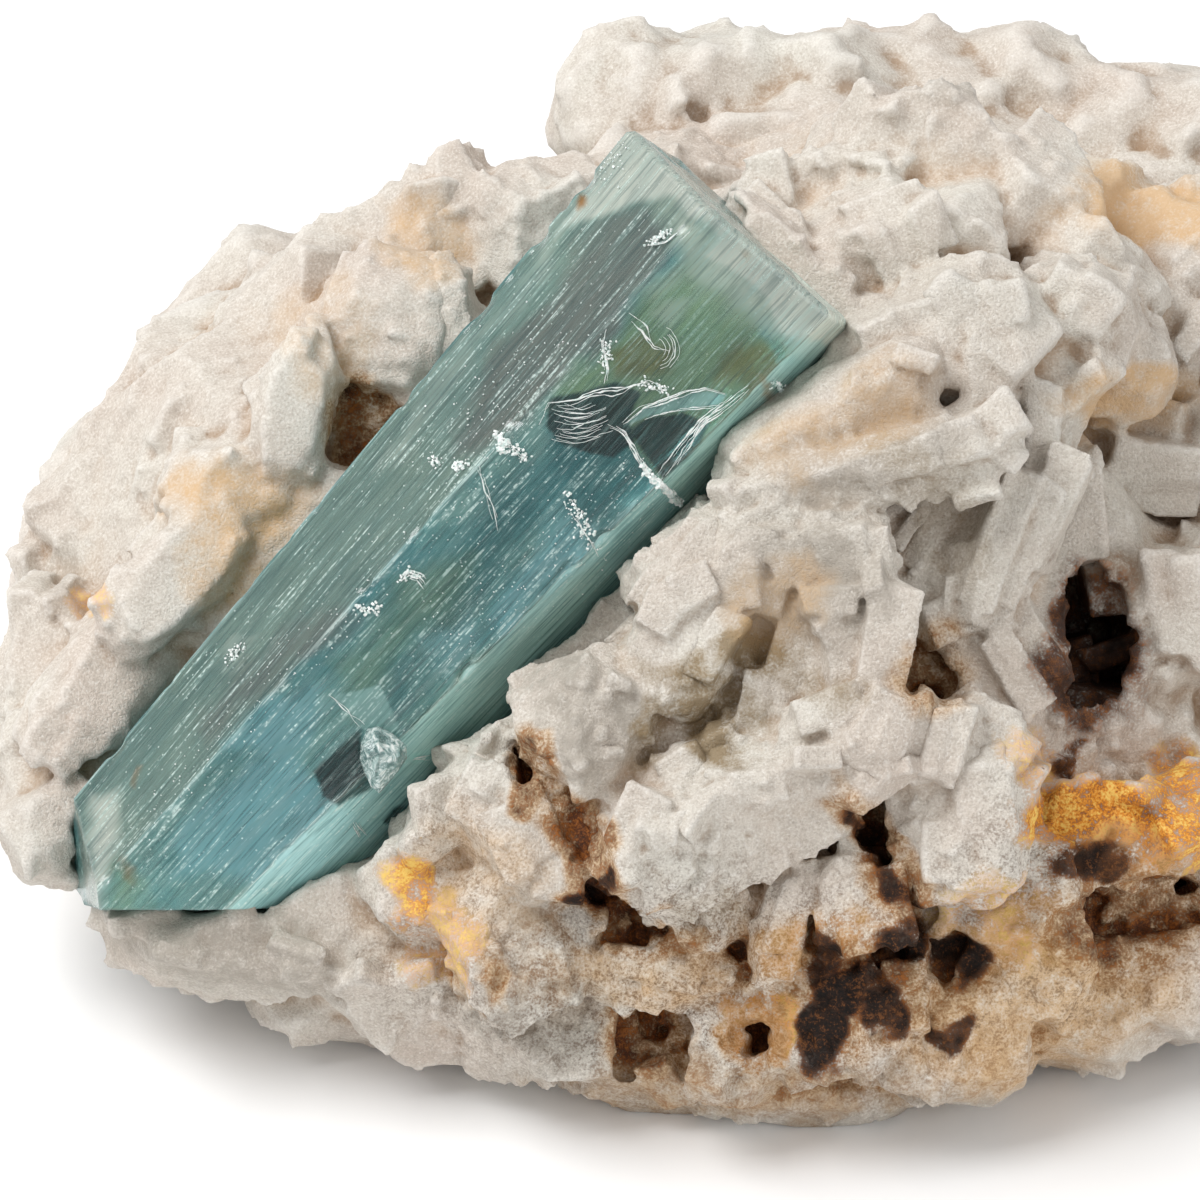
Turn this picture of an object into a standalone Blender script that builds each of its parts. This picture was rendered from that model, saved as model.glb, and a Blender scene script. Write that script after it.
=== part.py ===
"""Aquamarine crystal on its white albite matrix, a hand specimen that stands on a sawn base.

Run it with: blender --background --python part.py
Lengths in the tables are millimetres. The specimen is laid out in the frame of its show face, which leans
back from the vertical: RIGHT runs along the face, UP runs up the face and OUT points straight off it.
"""

import math
import random

import bmesh
import bpy
from mathutils import Euler, Matrix, Vector

MM = 0.001

# --- driving dimensions, in millimetres and degrees -----------------------------------------------------

FACE_LEAN = 35.0  # how far the show face leans back from the vertical
BASE_LEVEL = -25.0  # height of the sawn base, measured from the heart of the rock
GAP = 0.3  # clearance between one mineral and the next

PRISM_TOP = (8.2, 20.1, 3.0)  # middle of the flat top of the aquamarine
PRISM_ROOT = (-26.0, -18.0, -2.0)  # middle of its broken root
PRISM_RADIUS = 8.9  # axis to corner at the top
PRISM_TURN = 15.0  # how far the front face of the prism is turned to the right
PRISM_SIDES = 6
TOP_BEVEL = 0.5  # narrow slope round the flat top
SOCKET_PAST_TOP = 0.8  # room between the flat top and the albite behind it
# The root is narrower and less regular than the top. Its corners, rightwards and outwards from the axis:
ROOT_CORNERS = [(-2.6, 5.9), (3.1, 4.6), (8.6, -2.6), (3.6, -6.6), (-3.4, -5.2), (-6.8, 1.2)]
# Breaks across the root: a place on the show face and the way that the break faces.
ROOT_BREAKS = [((0, -16.9, 0), (0, -1, 0)), ((-28.5, -13.5, 0), (-1, -0.15, 0.2))]

# A small quartz crystal that sits on the front of the prism:
CHIP = ("chip", (-11.7, -8.7, 5.6), (2.6, 3.9, 2.6), (8, 10, 0))
CHIP_SEED = 31

# --- frame of the show face -----------------------------------------------------------------------------

LEAN = math.radians(FACE_LEAN)
RIGHT = Vector((1, 0, 0))
UP = Vector((0, math.sin(LEAN), math.cos(LEAN)))
OUT = Vector((0, -math.cos(LEAN), math.sin(LEAN)))
FACE_FRAME = Matrix((RIGHT, UP, OUT)).transposed()


def spot(right, up, out):
    """A place given along the show face, as a point in metres from the heart of the rock."""
    return FACE_FRAME @ Vector((right, up, out)) * MM


def turned(spin, pitch, yaw):
    """Spin turns anticlockwise on the show face, pitch tips the top outwards, yaw swings the left side outwards."""
    angles = Euler((math.radians(pitch), math.radians(yaw), math.radians(spin)), "XYZ")
    return FACE_FRAME @ angles.to_matrix()


# --- the tables -----------------------------------------------------------------------------------------
# kind, (right, up, out) of the middle, (long, wide, thick) in full, (spin, pitch, yaw)

FIRST_BOULDER = ("boulder", (-10.4, 0.6, -18), (45, 38, 32), (0, 0, 0))

CORE = [
    ("boulder", (10, -4, -12), (50, 46, 34), (0, 0, 0)),
    ("boulder", (32, -3, -19), (44, 36, 27), (0, 0, 0)),
    ("boulder", (14, 15, -24), (36, 31, 30), (0, 0, 0)),
    ("boulder", (32, 13, -27), (36, 32, 25), (0, 0, 0)),
    ("boulder", (8, -13, -7), (40, 26, 26), (0, 0, 0)),
]

LEFT_SLOPE = [
    ("lump", (-26, 4.4, -17), (12, 14, 12), (20, 0, 0)),
    ("lump", (-22, 10.6, -17), (14, 12, 12), (40, 0, 0)),
    ("lump", (-15.2, 15.8, -16), (15, 12, 12), (30, 0, 0)),
    ("lump", (-8.6, 18.9, -16), (14, 11, 12), (10, 0, 0)),
    ("lump", (-4.2, 20.6, -14), (10, 8.6, 10), (30, 0, 0)),
    ("lump", (-11, 14.9, -8), (9, 10, 8), (50, 0, 0)),
    ("blade", (-16.8, 10.5, -4.5), (4.5, 9, 4.5), (-12, 10, 0)),
    ("lump", (-20.6, 6, -6), (9, 7.5, 7), (10, 0, 0)),
    ("blade", (-26.4, -3.3, -6), (16, 6, 5), (50, 0, 20)),
    ("lump", (-29.6, -5.5, -12), (9, 13, 8), (0, 0, 0)),
    ("blade", (-23.4, 1.4, -4), (12, 5, 5), (48, 0, 15)),
    ("lump", (-30, -9.6, -8), (9, 9, 8), (0, 0, 0)),
    ("lump", (-30.2, -12.6, -4.4), (7, 6, 6), (20, 0, 0)),
    ("lump", (-29.4, 0.5, -18), (9, 12, 10), (0, 0, 0)),
]

CREST = [
    ("lump", (1.9, 28.6, -24), (9.5, 9.5, 12), (0, 0, 0)),
    ("lump", (7.4, 29.4, -24), (13, 8.5, 12), (0, 0, 0)),
    ("lump", (13.4, 28.6, -23), (11, 9.4, 10), (0, 0, 0)),
    ("lump", (18.6, 29.2, -26), (14, 8.8, 10), (0, 0, 0)),
    ("lump", (24.4, 29, -27), (12, 9, 10), (0, 0, 0)),
    ("lump", (29.4, 26.4, -26), (12, 10.5, 12), (-20, 0, 0)),
    ("lump", (35, 26, -26), (13, 11, 12), (-12, 0, 0)),
    ("lump", (3.3, 23.6, -17), (11, 7, 10), (0, 0, 0)),
    ("block", (17.3, 24.2, -9), (10, 8, 10), (15, 0, 0)),
    ("block", (13.2, 22, -8), (9, 7, 9), (30, 0, 0)),
    ("block", (14.4, 18.8, -2), (8.5, 6.5, 8), (25, 20, 0)),
    ("block", (18.9, 19.8, -3), (7, 6, 8), (5, 20, 0)),
    ("lump", (9.4, 21.4, -6), (6, 5, 7), (-40, 0, 0)),
    ("blade", (11.4, 17.6, 0.2), (12.5, 3, 6), (-47, 0, 0)),
    ("lump", (23.6, 22, -8), (9, 9, 10), (0, 0, 0)),
    ("lump", (26.4, 17.9, -7), (10, 8, 9), (-30, 0, 0)),
    ("lump", (19.3, 14.4, 2.5), (11.5, 7.5, 9), (10, 15, 0)),
    ("lump", (15.8, 12.6, 3), (8, 6, 7), (20, 0, 0)),
    ("lump", (26.4, 15.4, -1), (8, 7, 8), (0, 0, 0)),
    ("lump", (23.8, 12.4, 0), (7, 7.5, 7), (0, 0, 0)),
    ("lump", (28.6, 13.2, -4), (7, 7, 7), (0, 0, 0)),
]

COLLAR = [
    ("blade", (12.9, 10.2, 5.6), (14, 5, 5.5), (31, 25, 0)),
    ("blade", (15.2, 7.3, 7.6), (16.5, 4.2, 4), (14, 20, 0)),
    ("block", (5.6, 1.4, 6.6), (7, 6, 6), (45, 0, 20)),
    ("block", (8.8, 2.2, 6.8), (7, 6.5, 6), (20, 10, 0)),
    ("block", (12.7, 2.2, 7), (6.5, 5.5, 6), (-4, 5, 0)),
    ("blade", (14, -2.4, 8), (4.5, 10, 6), (4, 0, 0)),
    ("block", (4.4, -3, 7), (6.5, 6, 6), (50, 0, 10)),
    ("block", (10.6, -3, 6), (6.5, 6, 6), (15, 0, 0)),
    ("lump", (-0.8, -6.6, 8), (7.8, 8.4, 7.5), (20, 0, 0)),
    ("blade", (-7.4, -10.6, 3.4), (11, 3.4, 6), (49, 0, 0)),
]

SHELF = [
    ("ridge", (7.4, -10.8, 8), (17.5, 8.6, 9), (28, 0, 0)),
    ("block", (13.6, -7.6, 8.6), (7.5, 5.5, 7), (20, 0, 0)),
    ("blade", (19.8, -10.8, 7.6), (7.6, 11.5, 5), (-10, 0, -10)),
    ("blade", (17, -7.4, 9), (6.5, 4.6, 4.5), (10, 0, 0)),
    ("blade", (9.7, -17.6, 5.6), (3, 7, 4.2), (-14, 0, 0)),
    ("block", (14, -16.2, 6.6), (4.8, 5.2, 4.5), (8, 0, 0)),
    ("blade", (5.9, -16.2, 4.6), (5, 6, 5), (-20, 0, 0)),
    ("block", (-3.5, -12.4, 5), (7, 7.5, 7), (38, 0, 15)),
    ("block", (-4.4, -18.2, 2.4), (8.5, 9, 8), (20, 0, 10)),
    ("block", (-9.9, -15.6, 1.4), (5.5, 5.5, 6), (45, 0, 0)),
]

COLUMNS = [
    ("blade", (17.6, 3.4, 1.6), (4.6, 6, 3), (40, 0, 0)),
    ("blade", (21.8, 2.6, 2.6), (5, 10.5, 4), (-26, 0, 0)),
    ("blade", (18.8, -0.2, 0.4), (4.6, 6, 3), (-30, 0, 0)),
    ("blade", (24.2, 8.8, 1), (2.6, 6, 4), (3, 0, 0)),
    ("blade", (26.4, 5.4, -4), (3.2, 7, 4.5), (3, 0, 0)),
    ("blade", (21.4, -4.9, -1), (3.2, 8.5, 4), (24, 0, 0)),
    ("blade", (23.6, -4.4, -2.4), (3, 8, 4), (22, 0, 0)),
    ("block", (30.4, 7.6, -9), (6.5, 4.6, 6), (0, 0, 0)),
    ("block", (32.6, -0.8, -5), (6.5, 7.5, 7), (-20, 0, 0)),
    ("lump", (31, 17, -13), (11, 13, 10), (-35, 0, 0)),
    ("lump", (33, 11.2, -13), (10, 9, 9), (0, 0, 0)),
    ("lump", (28.6, -1.6, -13), (7, 6, 6), (0, 0, 0)),
    ("lump", (29, -7.6, -7), (12, 6, 10), (0, 0, 0)),
]

FOOT = [
    ("lump", (-20.6, -18.6, -4), (16, 6.6, 12), (-6, 0, 0)),
    ("block", (-14.4, -18, -2), (8, 6.5, 8), (20, 0, 0)),
    ("lump", (-9.4, -21, -3), (12, 9, 10), (-14, 0, 0)),
    ("lump", (-13.4, -21.4, -8), (14, 7, 10), (0, 0, 0)),
    ("block", (-2.4, -22.4, -2), (10, 8, 9), (5, 0, 0)),
    ("block", (3, -20.2, 2), (9, 4, 7), (-5, 0, 0)),
    ("block", (7.6, -23.6, 0), (7, 8, 9), (0, 0, 0)),
    ("block", (12.9, -21.8, 1.6), (10, 8.5, 8), (10, 0, 0)),
    ("block", (18.4, -22.8, 0), (11, 8.5, 9), (-8, 0, 0)),
    ("block", (22.6, -19.4, 0.6), (9, 8, 9), (10, 0, 0)),
    ("lump", (26.6, -21.6, -3), (13, 9, 9), (6, 0, 0)),
    ("block", (22.4, -15.4, 2.4), (7.5, 6, 7), (12, 0, 0)),
    ("block", (27.2, -13, 0), (11, 6, 8), (-6, 0, 0)),
    ("lump", (33, -12, -2), (10, 7, 8), (0, 0, 0)),
    ("lump", (32.6, -20.4, -4), (12, 9, 10), (4, 0, 0)),
    ("lump", (12, -26, -4), (20, 6, 12), (2, 0, 0)),
    ("lump", (3, -25.8, -4), (14, 6, 10), (-8, 0, 0)),
]

RIGHT_END = [
    ("lump", (27.4, 21.6, -15), (9, 8, 9), (-30, 0, 0)),
    ("lump", (33.4, 19.6, -15), (9, 9, 9), (0, 0, 0)),
    ("block", (30.6, 14.6, -11), (7, 7, 8), (-20, 0, 0)),
    ("lump", (37, 14, -13), (10, 9, 9), (10, 0, 0)),
    ("block", (36.4, 8, -10), (9, 8, 9), (15, 0, 0)),
    ("lump", (36, 1.6, -8), (9, 9, 9), (0, 0, 0)),
    ("lump", (37.4, -5.4, -7), (8, 8, 8), (20, 0, 0)),
    ("block", (36, -11.6, -5), (8, 8, 8), (-20, 0, 0)),
    ("lump", (41, 20.6, -20), (11, 10, 11), (0, 0, 0)),
    ("lump", (42, 17, -15), (14, 14, 14), (-20, 0, 0)),
    ("lump", (46, 8, -9), (14, 12, 13), (0, 0, 0)),
    ("lump", (40, 4, -6), (10, 11, 10), (0, 0, 0)),
    ("lump", (49, -3, -12), (13, 14, 14), (0, 0, 0)),
    ("lump", (42, -7, -6), (12, 10, 12), (0, 0, 0)),
    ("lump", (43, -14, -8), (14, 10, 13), (0, 0, 0)),
    ("lump", (50, -9, -20), (12, 14, 14), (0, 0, 0)),
    ("lump", (50, 7, -22), (13, 14, 15), (0, 0, 0)),
    ("lump", (41, -19, -12), (14, 8, 14), (0, 0, 0)),
]

GROWTHS = {
    "core": CORE,
    "left_slope": LEFT_SLOPE,
    "crest": CREST,
    "collar": COLLAR,
    "shelf": SHELF,
    "column": COLUMNS,
    "foot": FOOT,
    "right_end": RIGHT_END,
}
SEEDS_APART = 100  # from one group of crystals to the next
FIRST_SEED = 99
PIT_SEED = 50

# Pits and gaps between the crystals, in the same form.
PITS = [
    ("block", (-13.2, 9.4, -3), (4.5, 5, 8), (-15, 0, 0)),
    ("block", (3, -24.3, 3), (4.6, 4.4, 6), (-6, 0, 0)),
    ("block", (8.2, -23.8, 3.6), (2.6, 2.5, 4), (0, 0, 0)),
    ("blade", (15.6, -15, 8), (1.9, 8, 8), (28, 0, 0)),
    ("block", (15.6, -19, 5.4), (3, 1.9, 4), (20, 0, 0)),
    ("block", (19.2, -19.4, 4.6), (3, 3, 4), (20, 0, 0)),
    ("blade", (-4, -9.6, 8), (1.8, 4.2, 8), (30, 0, 0)),
    ("blade", (1, -17, 7), (2.2, 5, 7), (40, 0, 0)),
    ("block", (8.3, -2.2, 10), (2.6, 3, 4), (0, 0, 0)),
    ("block", (17.6, -4, 6), (3.6, 4, 9), (20, 0, 0)),
    ("lump", (27, -2.6, -6), (6.6, 11.5, 18), (0, 0, 0)),
    ("block", (30.6, -16.6, 2), (10, 3.6, 7), (6, 0, 0)),
    ("block", (16.6, 3.4, 6), (3, 5, 5), (-30, 0, 0)),
]

SCATTER_SEED = 7
FAR_LUMP_SEED = 900
SCATTERED = 84  # places tried all round the rock; the lumps are only on its far side and right end
SCATTER_HEART = (11, 0, -19)
SCATTER_HALF = (43, 25, 17)
RIGHT_END_FROM = 0.62  # how far along its half length the right end begins
FAR_SIDE_FROM = -0.3  # how far back the far side begins, in half thicknesses
SCATTER_SIZES = (8, 14)
SCATTER_TURN = 60

ALBITE_WHITE = (0.80, 0.76, 0.70)
AQUA_BLUE = (0.35, 0.62, 0.64)
QUARTZ_CLEAR = (0.82, 0.88, 0.88)
BERYL_IOR = 1.577
QUARTZ_IOR = 1.544


# --- shapes ---------------------------------------------------------------------------------------------


def jittered(direction, amount, dice):
    """The direction, tipped by a random amount."""
    return (direction + Vector([dice.uniform(-amount, amount) for _ in range(3)])).normalized()


def spiral_directions(count):
    """Directions spread evenly over a ball, along a golden spiral."""
    golden = math.pi * (3 - math.sqrt(5))
    found = []
    for i in range(count):
        height = 1 - 2 * (i + 0.5) / count
        ring = math.sqrt(1 - height * height)
        found.append(Vector((ring * math.cos(golden * i), ring * math.sin(golden * i), height)))
    return found


def rounded_flats(count, nearest, dice):
    """Flats all round a lump: each is a direction and its distance from the middle, where the half size is 1."""
    return [(jittered(d, 0.22, dice), dice.uniform(nearest, 1.0)) for d in spiral_directions(count)]


def block_flats(dice):
    """Six box sides with the corners and some edges broken off."""
    sides = [Vector(d) for d in ((1, 0, 0), (-1, 0, 0), (0, 1, 0), (0, -1, 0), (0, 0, 1), (0, 0, -1))]
    flats = [(jittered(d, 0.1, dice), dice.uniform(0.9, 1.0)) for d in sides]
    for x in (-1, 1):
        for y in (-1, 1):
            flats.append((jittered(Vector((x, y, 0.9)).normalized(), 0.15, dice), dice.uniform(1.08, 1.3)))
            flats.append((jittered(Vector((x, y, 0)).normalized(), 0.1, dice), dice.uniform(1.12, 1.3)))
    return flats


def blade_flats(dice):
    """A plate with an uneven outline of eight sides and sloped rims."""
    flats = [(jittered(Vector((0, 0, s)), 0.06, dice), dice.uniform(0.9, 1.0)) for s in (-1, 1)]
    rim_sides = 8
    for i in range(rim_sides):
        angle = 2 * math.pi * (i + dice.uniform(-0.25, 0.25)) / rim_sides
        rim = Vector((math.cos(angle), math.sin(angle), dice.uniform(-0.25, 0.25)))
        flats.append((rim.normalized(), dice.uniform(0.86, 1.0)))
    for i in range(rim_sides // 2):
        angle = 4 * math.pi * (i + dice.uniform(-0.3, 0.3)) / rim_sides
        slope = Vector((math.cos(angle), math.sin(angle), 0.9)).normalized()
        flats.append((slope, dice.uniform(1.0, 1.15)))
    return flats


def ridge_flats(dice):
    """A long lens with a sharp crest: two slopes meet above, and the ends taper."""
    slopes = [(0.1, 0.75, 0.65, 0.78), (0.0, -0.55, 0.83, 0.8), (0, 1, 0, 0.95), (0, -1, -0.2, 0.95)]
    ends = [(1, 0.5, 0.3, 1.0), (1, -0.6, 0.2, 0.98), (-1, 0.45, 0.3, 0.98), (-1, -0.5, 0.3, 1.0)]
    flats = [(jittered(Vector(f[:3]).normalized(), 0.05, dice), f[3]) for f in slopes + ends]
    return flats + [(Vector((0, 0, -1)), 1.0), (Vector((1, 0, 0)), 0.96), (Vector((-1, 0, 0)), 0.96)]


def chip_flats(dice):
    """A stubby crystal whose sides run down to a point, with a roof of slopes on its front."""
    flats = [(Vector((0, 0, -1)), 1.0), (Vector((0.1, 0.95, 0.3)).normalized(), 0.93)]
    for side in (-1, 1):
        flats.append((jittered(Vector((side, 0.15, 0)).normalized(), 0.08, dice), 0.92))
        flats.append((jittered(Vector((side * 0.8, -0.6, 0)).normalized(), 0.08, dice), 0.72))
        flats.append((jittered(Vector((side * 0.7, 0.5, 0.2)).normalized(), 0.08, dice), 0.9))
        flats.append((jittered(Vector((side * 0.45, 0.1, 0.9)).normalized(), 0.08, dice), 0.86))
    return flats


def flats_of(kind, dice):
    if kind == "chip":
        return chip_flats(dice)
    if kind == "boulder":
        return rounded_flats(34, 0.88, dice)
    if kind == "lump":
        return rounded_flats(16, 0.8, dice)
    if kind == "block":
        return block_flats(dice)
    if kind == "ridge":
        return ridge_flats(dice)
    return blade_flats(dice)


def slice_off(shape, place, facing):
    """Cuts away what lies beyond a plane and closes the cut."""
    everything = shape.verts[:] + shape.edges[:] + shape.faces[:]
    cut = bmesh.ops.bisect_plane(
        shape, geom=everything, dist=1e-7, plane_co=place, plane_no=facing, clear_outer=True
    )
    rim = [g for g in cut["geom_cut"] if isinstance(g, bmesh.types.BMEdge)]
    if rim:
        bmesh.ops.holes_fill(shape, edges=rim, sides=0)


def cut_crystal(name, kind, middle, size, angles, seed, extra=0.0):
    """One crystal: a box that every flat in turn slices, stretched to its size and turned into place. Extra
    makes it larger all round, for the pocket that it sits in."""
    shape = bmesh.new()
    bmesh.ops.create_cube(shape, size=4)
    for normal, distance in flats_of(kind, random.Random(seed)):
        slice_off(shape, normal * distance, normal)
    half = Vector(length / 2 + extra for length in size) * MM
    place = Matrix.Translation(spot(*middle)) @ turned(*angles).to_4x4() @ Matrix.Diagonal(half).to_4x4()
    bmesh.ops.transform(shape, matrix=place, verts=shape.verts)
    bmesh.ops.recalc_face_normals(shape, faces=shape.faces)
    return finished(shape, name)


def finished(shape, name):
    """The shape as an object that isn't yet in any collection."""
    mesh = bpy.data.meshes.new(name)
    shape.to_mesh(mesh)
    shape.free()
    return bpy.data.objects.new(name, mesh)


def regular_corners(radius):
    """Six even corners as (rightwards, outwards) from the axis, with the front face turned to the right."""
    first = math.radians(PRISM_TURN - 180 / PRISM_SIDES)
    turns = [first + 2 * math.pi * i / PRISM_SIDES for i in range(PRISM_SIDES)]
    return [(radius * math.sin(t), radius * math.cos(t)) for t in turns]


def moved_out(corners, extra):
    """The corners, each moved away from the axis by extra."""
    return [
        (across * (1 + extra / math.hypot(across, towards)), towards * (1 + extra / math.hypot(across, towards)))
        for across, towards in corners
    ]


def prism(name, extra, past_top):
    """The six-sided prism of the aquamarine, a loft from its regular top to its root. Extra widens it all round
    and past_top lengthens it, so that the same shape also cuts its socket."""
    top, root = Vector(PRISM_TOP), Vector(PRISM_ROOT)
    along = (top - root).normalized()
    towards = (Vector((0, 0, 1)) - along * along.z).normalized()
    across = along.cross(towards)
    shape = bmesh.new()
    rings = []
    for middle, corners in (
        (root - along * extra, ROOT_CORNERS),
        (top + along * past_top, regular_corners(PRISM_RADIUS)),
    ):
        places = [middle + across * a + towards * t for a, t in moved_out(corners, extra)]
        rings.append([shape.verts.new(spot(*p)) for p in places])
    low, high = rings
    for i in range(PRISM_SIDES):
        j = (i + 1) % PRISM_SIDES
        shape.faces.new((low[i], low[j], high[j], high[i]))
    shape.faces.new(low)
    cap = shape.faces.new(high)
    if not past_top:
        bmesh.ops.bevel(shape, geom=cap.edges[:], offset=TOP_BEVEL * MM, segments=1, affect="EDGES")
    for place, normal in ROOT_BREAKS:
        facing = FACE_FRAME @ Vector(normal).normalized()
        slice_off(shape, spot(*place) + facing * extra * MM, facing)
    bmesh.ops.triangulate(shape, faces=[f for f in shape.faces if len(f.verts) == 4])
    bmesh.ops.recalc_face_normals(shape, faces=shape.faces)
    return finished(shape, name)


def add_boolean(target, operation, collection):
    boolean = target.modifiers.new(operation.lower(), "BOOLEAN")
    boolean.operation = operation
    boolean.solver = "EXACT"
    boolean.operand_type = "COLLECTION"
    boolean.collection = collection


# --- materials ------------------------------------------------------------------------------------------


def finish(name, colour, roughness, transmission=0.0, ior=1.5):
    material = bpy.data.materials.new(name)
    material.use_nodes = True
    shader = material.node_tree.nodes["Principled BSDF"]
    shader.inputs["Base Color"].default_value = (*colour, 1)
    shader.inputs["Roughness"].default_value = roughness
    shader.inputs["Metallic"].default_value = 0
    shader.inputs["Transmission Weight"].default_value = transmission
    shader.inputs["IOR"].default_value = ior
    return material


# --- assembly -------------------------------------------------------------------------------------------


def clear_scene():
    for thing in list(bpy.data.objects):
        bpy.data.objects.remove(thing)


def new_collection(name, helper):
    collection = bpy.data.collections.new(name)
    bpy.context.scene.collection.children.link(collection)
    collection.hide_render = helper
    return collection


def add_helper(thing, collection):
    thing.hide_render = True
    thing.display_type = "WIRE"
    collection.objects.link(thing)


def grow(table, label, collection, seed):
    for i, (kind, middle, size, angles) in enumerate(table):
        add_helper(cut_crystal(f"{label}_{i + 1}", kind, middle, size, angles, seed + i), collection)


def scatter_lumps(collection):
    """Lumps on the far side and the right end of the rock, spread over an egg shape."""
    dice = random.Random(SCATTER_SEED)
    heart, half = Vector(SCATTER_HEART), Vector(SCATTER_HALF)
    for i, direction in enumerate(spiral_directions(SCATTERED)):
        if direction.z > FAR_SIDE_FROM and direction.x < RIGHT_END_FROM:
            continue
        middle = heart + Vector(a * b for a, b in zip(direction, half))
        size = [dice.uniform(*SCATTER_SIZES) for _ in range(3)]
        angles = [dice.uniform(-SCATTER_TURN, SCATTER_TURN) for _ in range(3)]
        lump = cut_crystal(f"far_lump_{i}", "lump", middle, size, angles, FAR_LUMP_SEED + i)
        add_helper(lump, collection)


def keep_outer_shell(thing):
    """Drops the sealed voids that are left between intergrown crystals."""
    shape = bmesh.new()
    shape.from_mesh(thing.data)
    left = set(shape.verts)
    shells = []
    while left:
        shell = set()
        border = {left.pop()}
        while border:
            shell |= border
            border = {e.other_vert(v) for v in border for e in v.link_edges} - shell
        left -= shell
        shells.append(shell)
    outer = max(shells, key=len)
    bmesh.ops.delete(shape, geom=[v for v in shape.verts if v not in outer], context="VERTS")
    shape.to_mesh(thing.data)
    shape.free()


def apply_modifiers(thing):
    graph = bpy.context.evaluated_depsgraph_get()
    baked = bpy.data.meshes.new_from_object(thing.evaluated_get(graph))
    thing.modifiers.clear()
    thing.data = baked


def sawn_off(name):
    """The block of space under the base, which the rock was sawn off at."""
    reach = 200 * MM
    shape = bmesh.new()
    bmesh.ops.create_cube(shape, size=reach)
    bmesh.ops.translate(shape, vec=(0, 0, BASE_LEVEL * MM - reach / 2), verts=shape.verts)
    return finished(shape, name)


def build_matrix(cutters):
    """The albite rock: every crystal joined into one solid, less the pits, the socket and all below the base."""
    crystals = new_collection("crystals", True)
    for number, (label, table) in enumerate(GROWTHS.items(), 1):
        grow(table, label, crystals, SEEDS_APART * number)
    scatter_lumps(crystals)
    grow(PITS, "pit", cutters, PIT_SEED)
    add_helper(prism("socket", GAP, SOCKET_PAST_TOP), cutters)
    add_helper(sawn_off("sawn_off"), cutters)
    rock = cut_crystal("albite_matrix", *FIRST_BOULDER, FIRST_SEED)
    add_boolean(rock, "UNION", crystals)
    add_boolean(rock, "DIFFERENCE", cutters)
    return rock


def build_aquamarine():
    """The prism, with a shallow pocket on its front for the quartz chip."""
    gem = prism("aquamarine_crystal", 0, 0)
    pockets = new_collection("pockets", True)
    add_helper(cut_crystal("chip_pocket", *CHIP, CHIP_SEED, GAP), pockets)
    add_boolean(gem, "DIFFERENCE", pockets)
    return gem


def settle_on_base(things):
    """Moves the specimen so that the middle of its base is at the origin."""
    corners = [v.co for thing in things for v in thing.data.vertices]
    low = Vector(min(c[i] for c in corners) for i in range(3))
    high = Vector(max(c[i] for c in corners) for i in range(3))
    shift = Matrix.Translation((-(low.x + high.x) / 2, -(low.y + high.y) / 2, -low.z))
    for thing in things:
        thing.data.transform(shift)


def main():
    clear_scene()
    specimen = new_collection("aquamarine_on_albite", False)
    cutters = new_collection("cutters", True)
    rock = build_matrix(cutters)
    gem = build_aquamarine()
    chip = cut_crystal("quartz_chip", *CHIP, CHIP_SEED)
    rock.data.materials.append(finish("albite", ALBITE_WHITE, 0.75))
    gem.data.materials.append(finish("aquamarine", AQUA_BLUE, 0.08, 1.0, BERYL_IOR))
    chip.data.materials.append(finish("quartz", QUARTZ_CLEAR, 0.12, 0.8, QUARTZ_IOR))
    for thing in (rock, gem, chip):
        specimen.objects.link(thing)
    apply_modifiers(rock)
    keep_outer_shell(rock)
    apply_modifiers(gem)
    settle_on_base([rock, gem, chip])


main()
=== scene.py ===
"""Looks of an aquamarine crystal on its white albite matrix, a hand specimen on a sawn base.

Lengths are millimetres wherever a name doesn't say otherwise. Places are laid out on the show face, which
leans back from the vertical: (right, up, out), counted from the heart of the rock. to_metres() takes them to
the model.
"""

import math

import bmesh
import bpy
import numpy as np
from bpy.props import FloatProperty, FloatVectorProperty, PointerProperty
from mathutils import Euler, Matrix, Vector
from mathutils.bvhtree import BVHTree


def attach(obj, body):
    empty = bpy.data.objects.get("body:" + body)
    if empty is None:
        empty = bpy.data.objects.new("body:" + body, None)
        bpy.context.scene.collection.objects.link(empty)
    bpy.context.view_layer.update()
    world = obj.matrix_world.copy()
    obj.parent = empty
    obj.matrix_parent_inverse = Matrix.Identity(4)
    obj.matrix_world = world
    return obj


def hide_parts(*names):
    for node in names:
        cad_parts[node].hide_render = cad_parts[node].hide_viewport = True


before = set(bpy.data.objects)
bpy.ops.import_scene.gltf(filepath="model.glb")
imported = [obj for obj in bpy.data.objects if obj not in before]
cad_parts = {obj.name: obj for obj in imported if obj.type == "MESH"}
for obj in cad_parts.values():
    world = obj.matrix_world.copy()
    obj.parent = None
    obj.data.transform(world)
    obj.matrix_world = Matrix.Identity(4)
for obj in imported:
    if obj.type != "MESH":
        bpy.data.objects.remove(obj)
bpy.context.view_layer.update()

bl_info = {
    "name": "Aquamarine specimen",
    "version": (1, 0, 0),
    "blender": (4, 5, 0),
    "location": "View3D > Sidebar > Specimen",
    "description": "Dresses the packed solids of an aquamarine on albite",
    "category": "Object",
}

MM = 0.001
HEART = np.array((-12.0, -12.3, 25.0))  # heart of the rock in the model's frame
LEAN = math.radians(35.0)
RIGHT = np.array((1.0, 0.0, 0.0))
UP = np.array((0.0, math.sin(LEAN), math.cos(LEAN)))
OUT = np.array((0.0, -math.cos(LEAN), math.sin(LEAN)))
FACE = np.stack((RIGHT, UP, OUT))
SEED = 4
LATTICE = 64  # sides of the block of random numbers that every noise here reads
FAR = 90.0  # further than any part of the specimen reaches
MERGE = 1e-6  # points nearer to each other than this, in metres, are one


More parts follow.
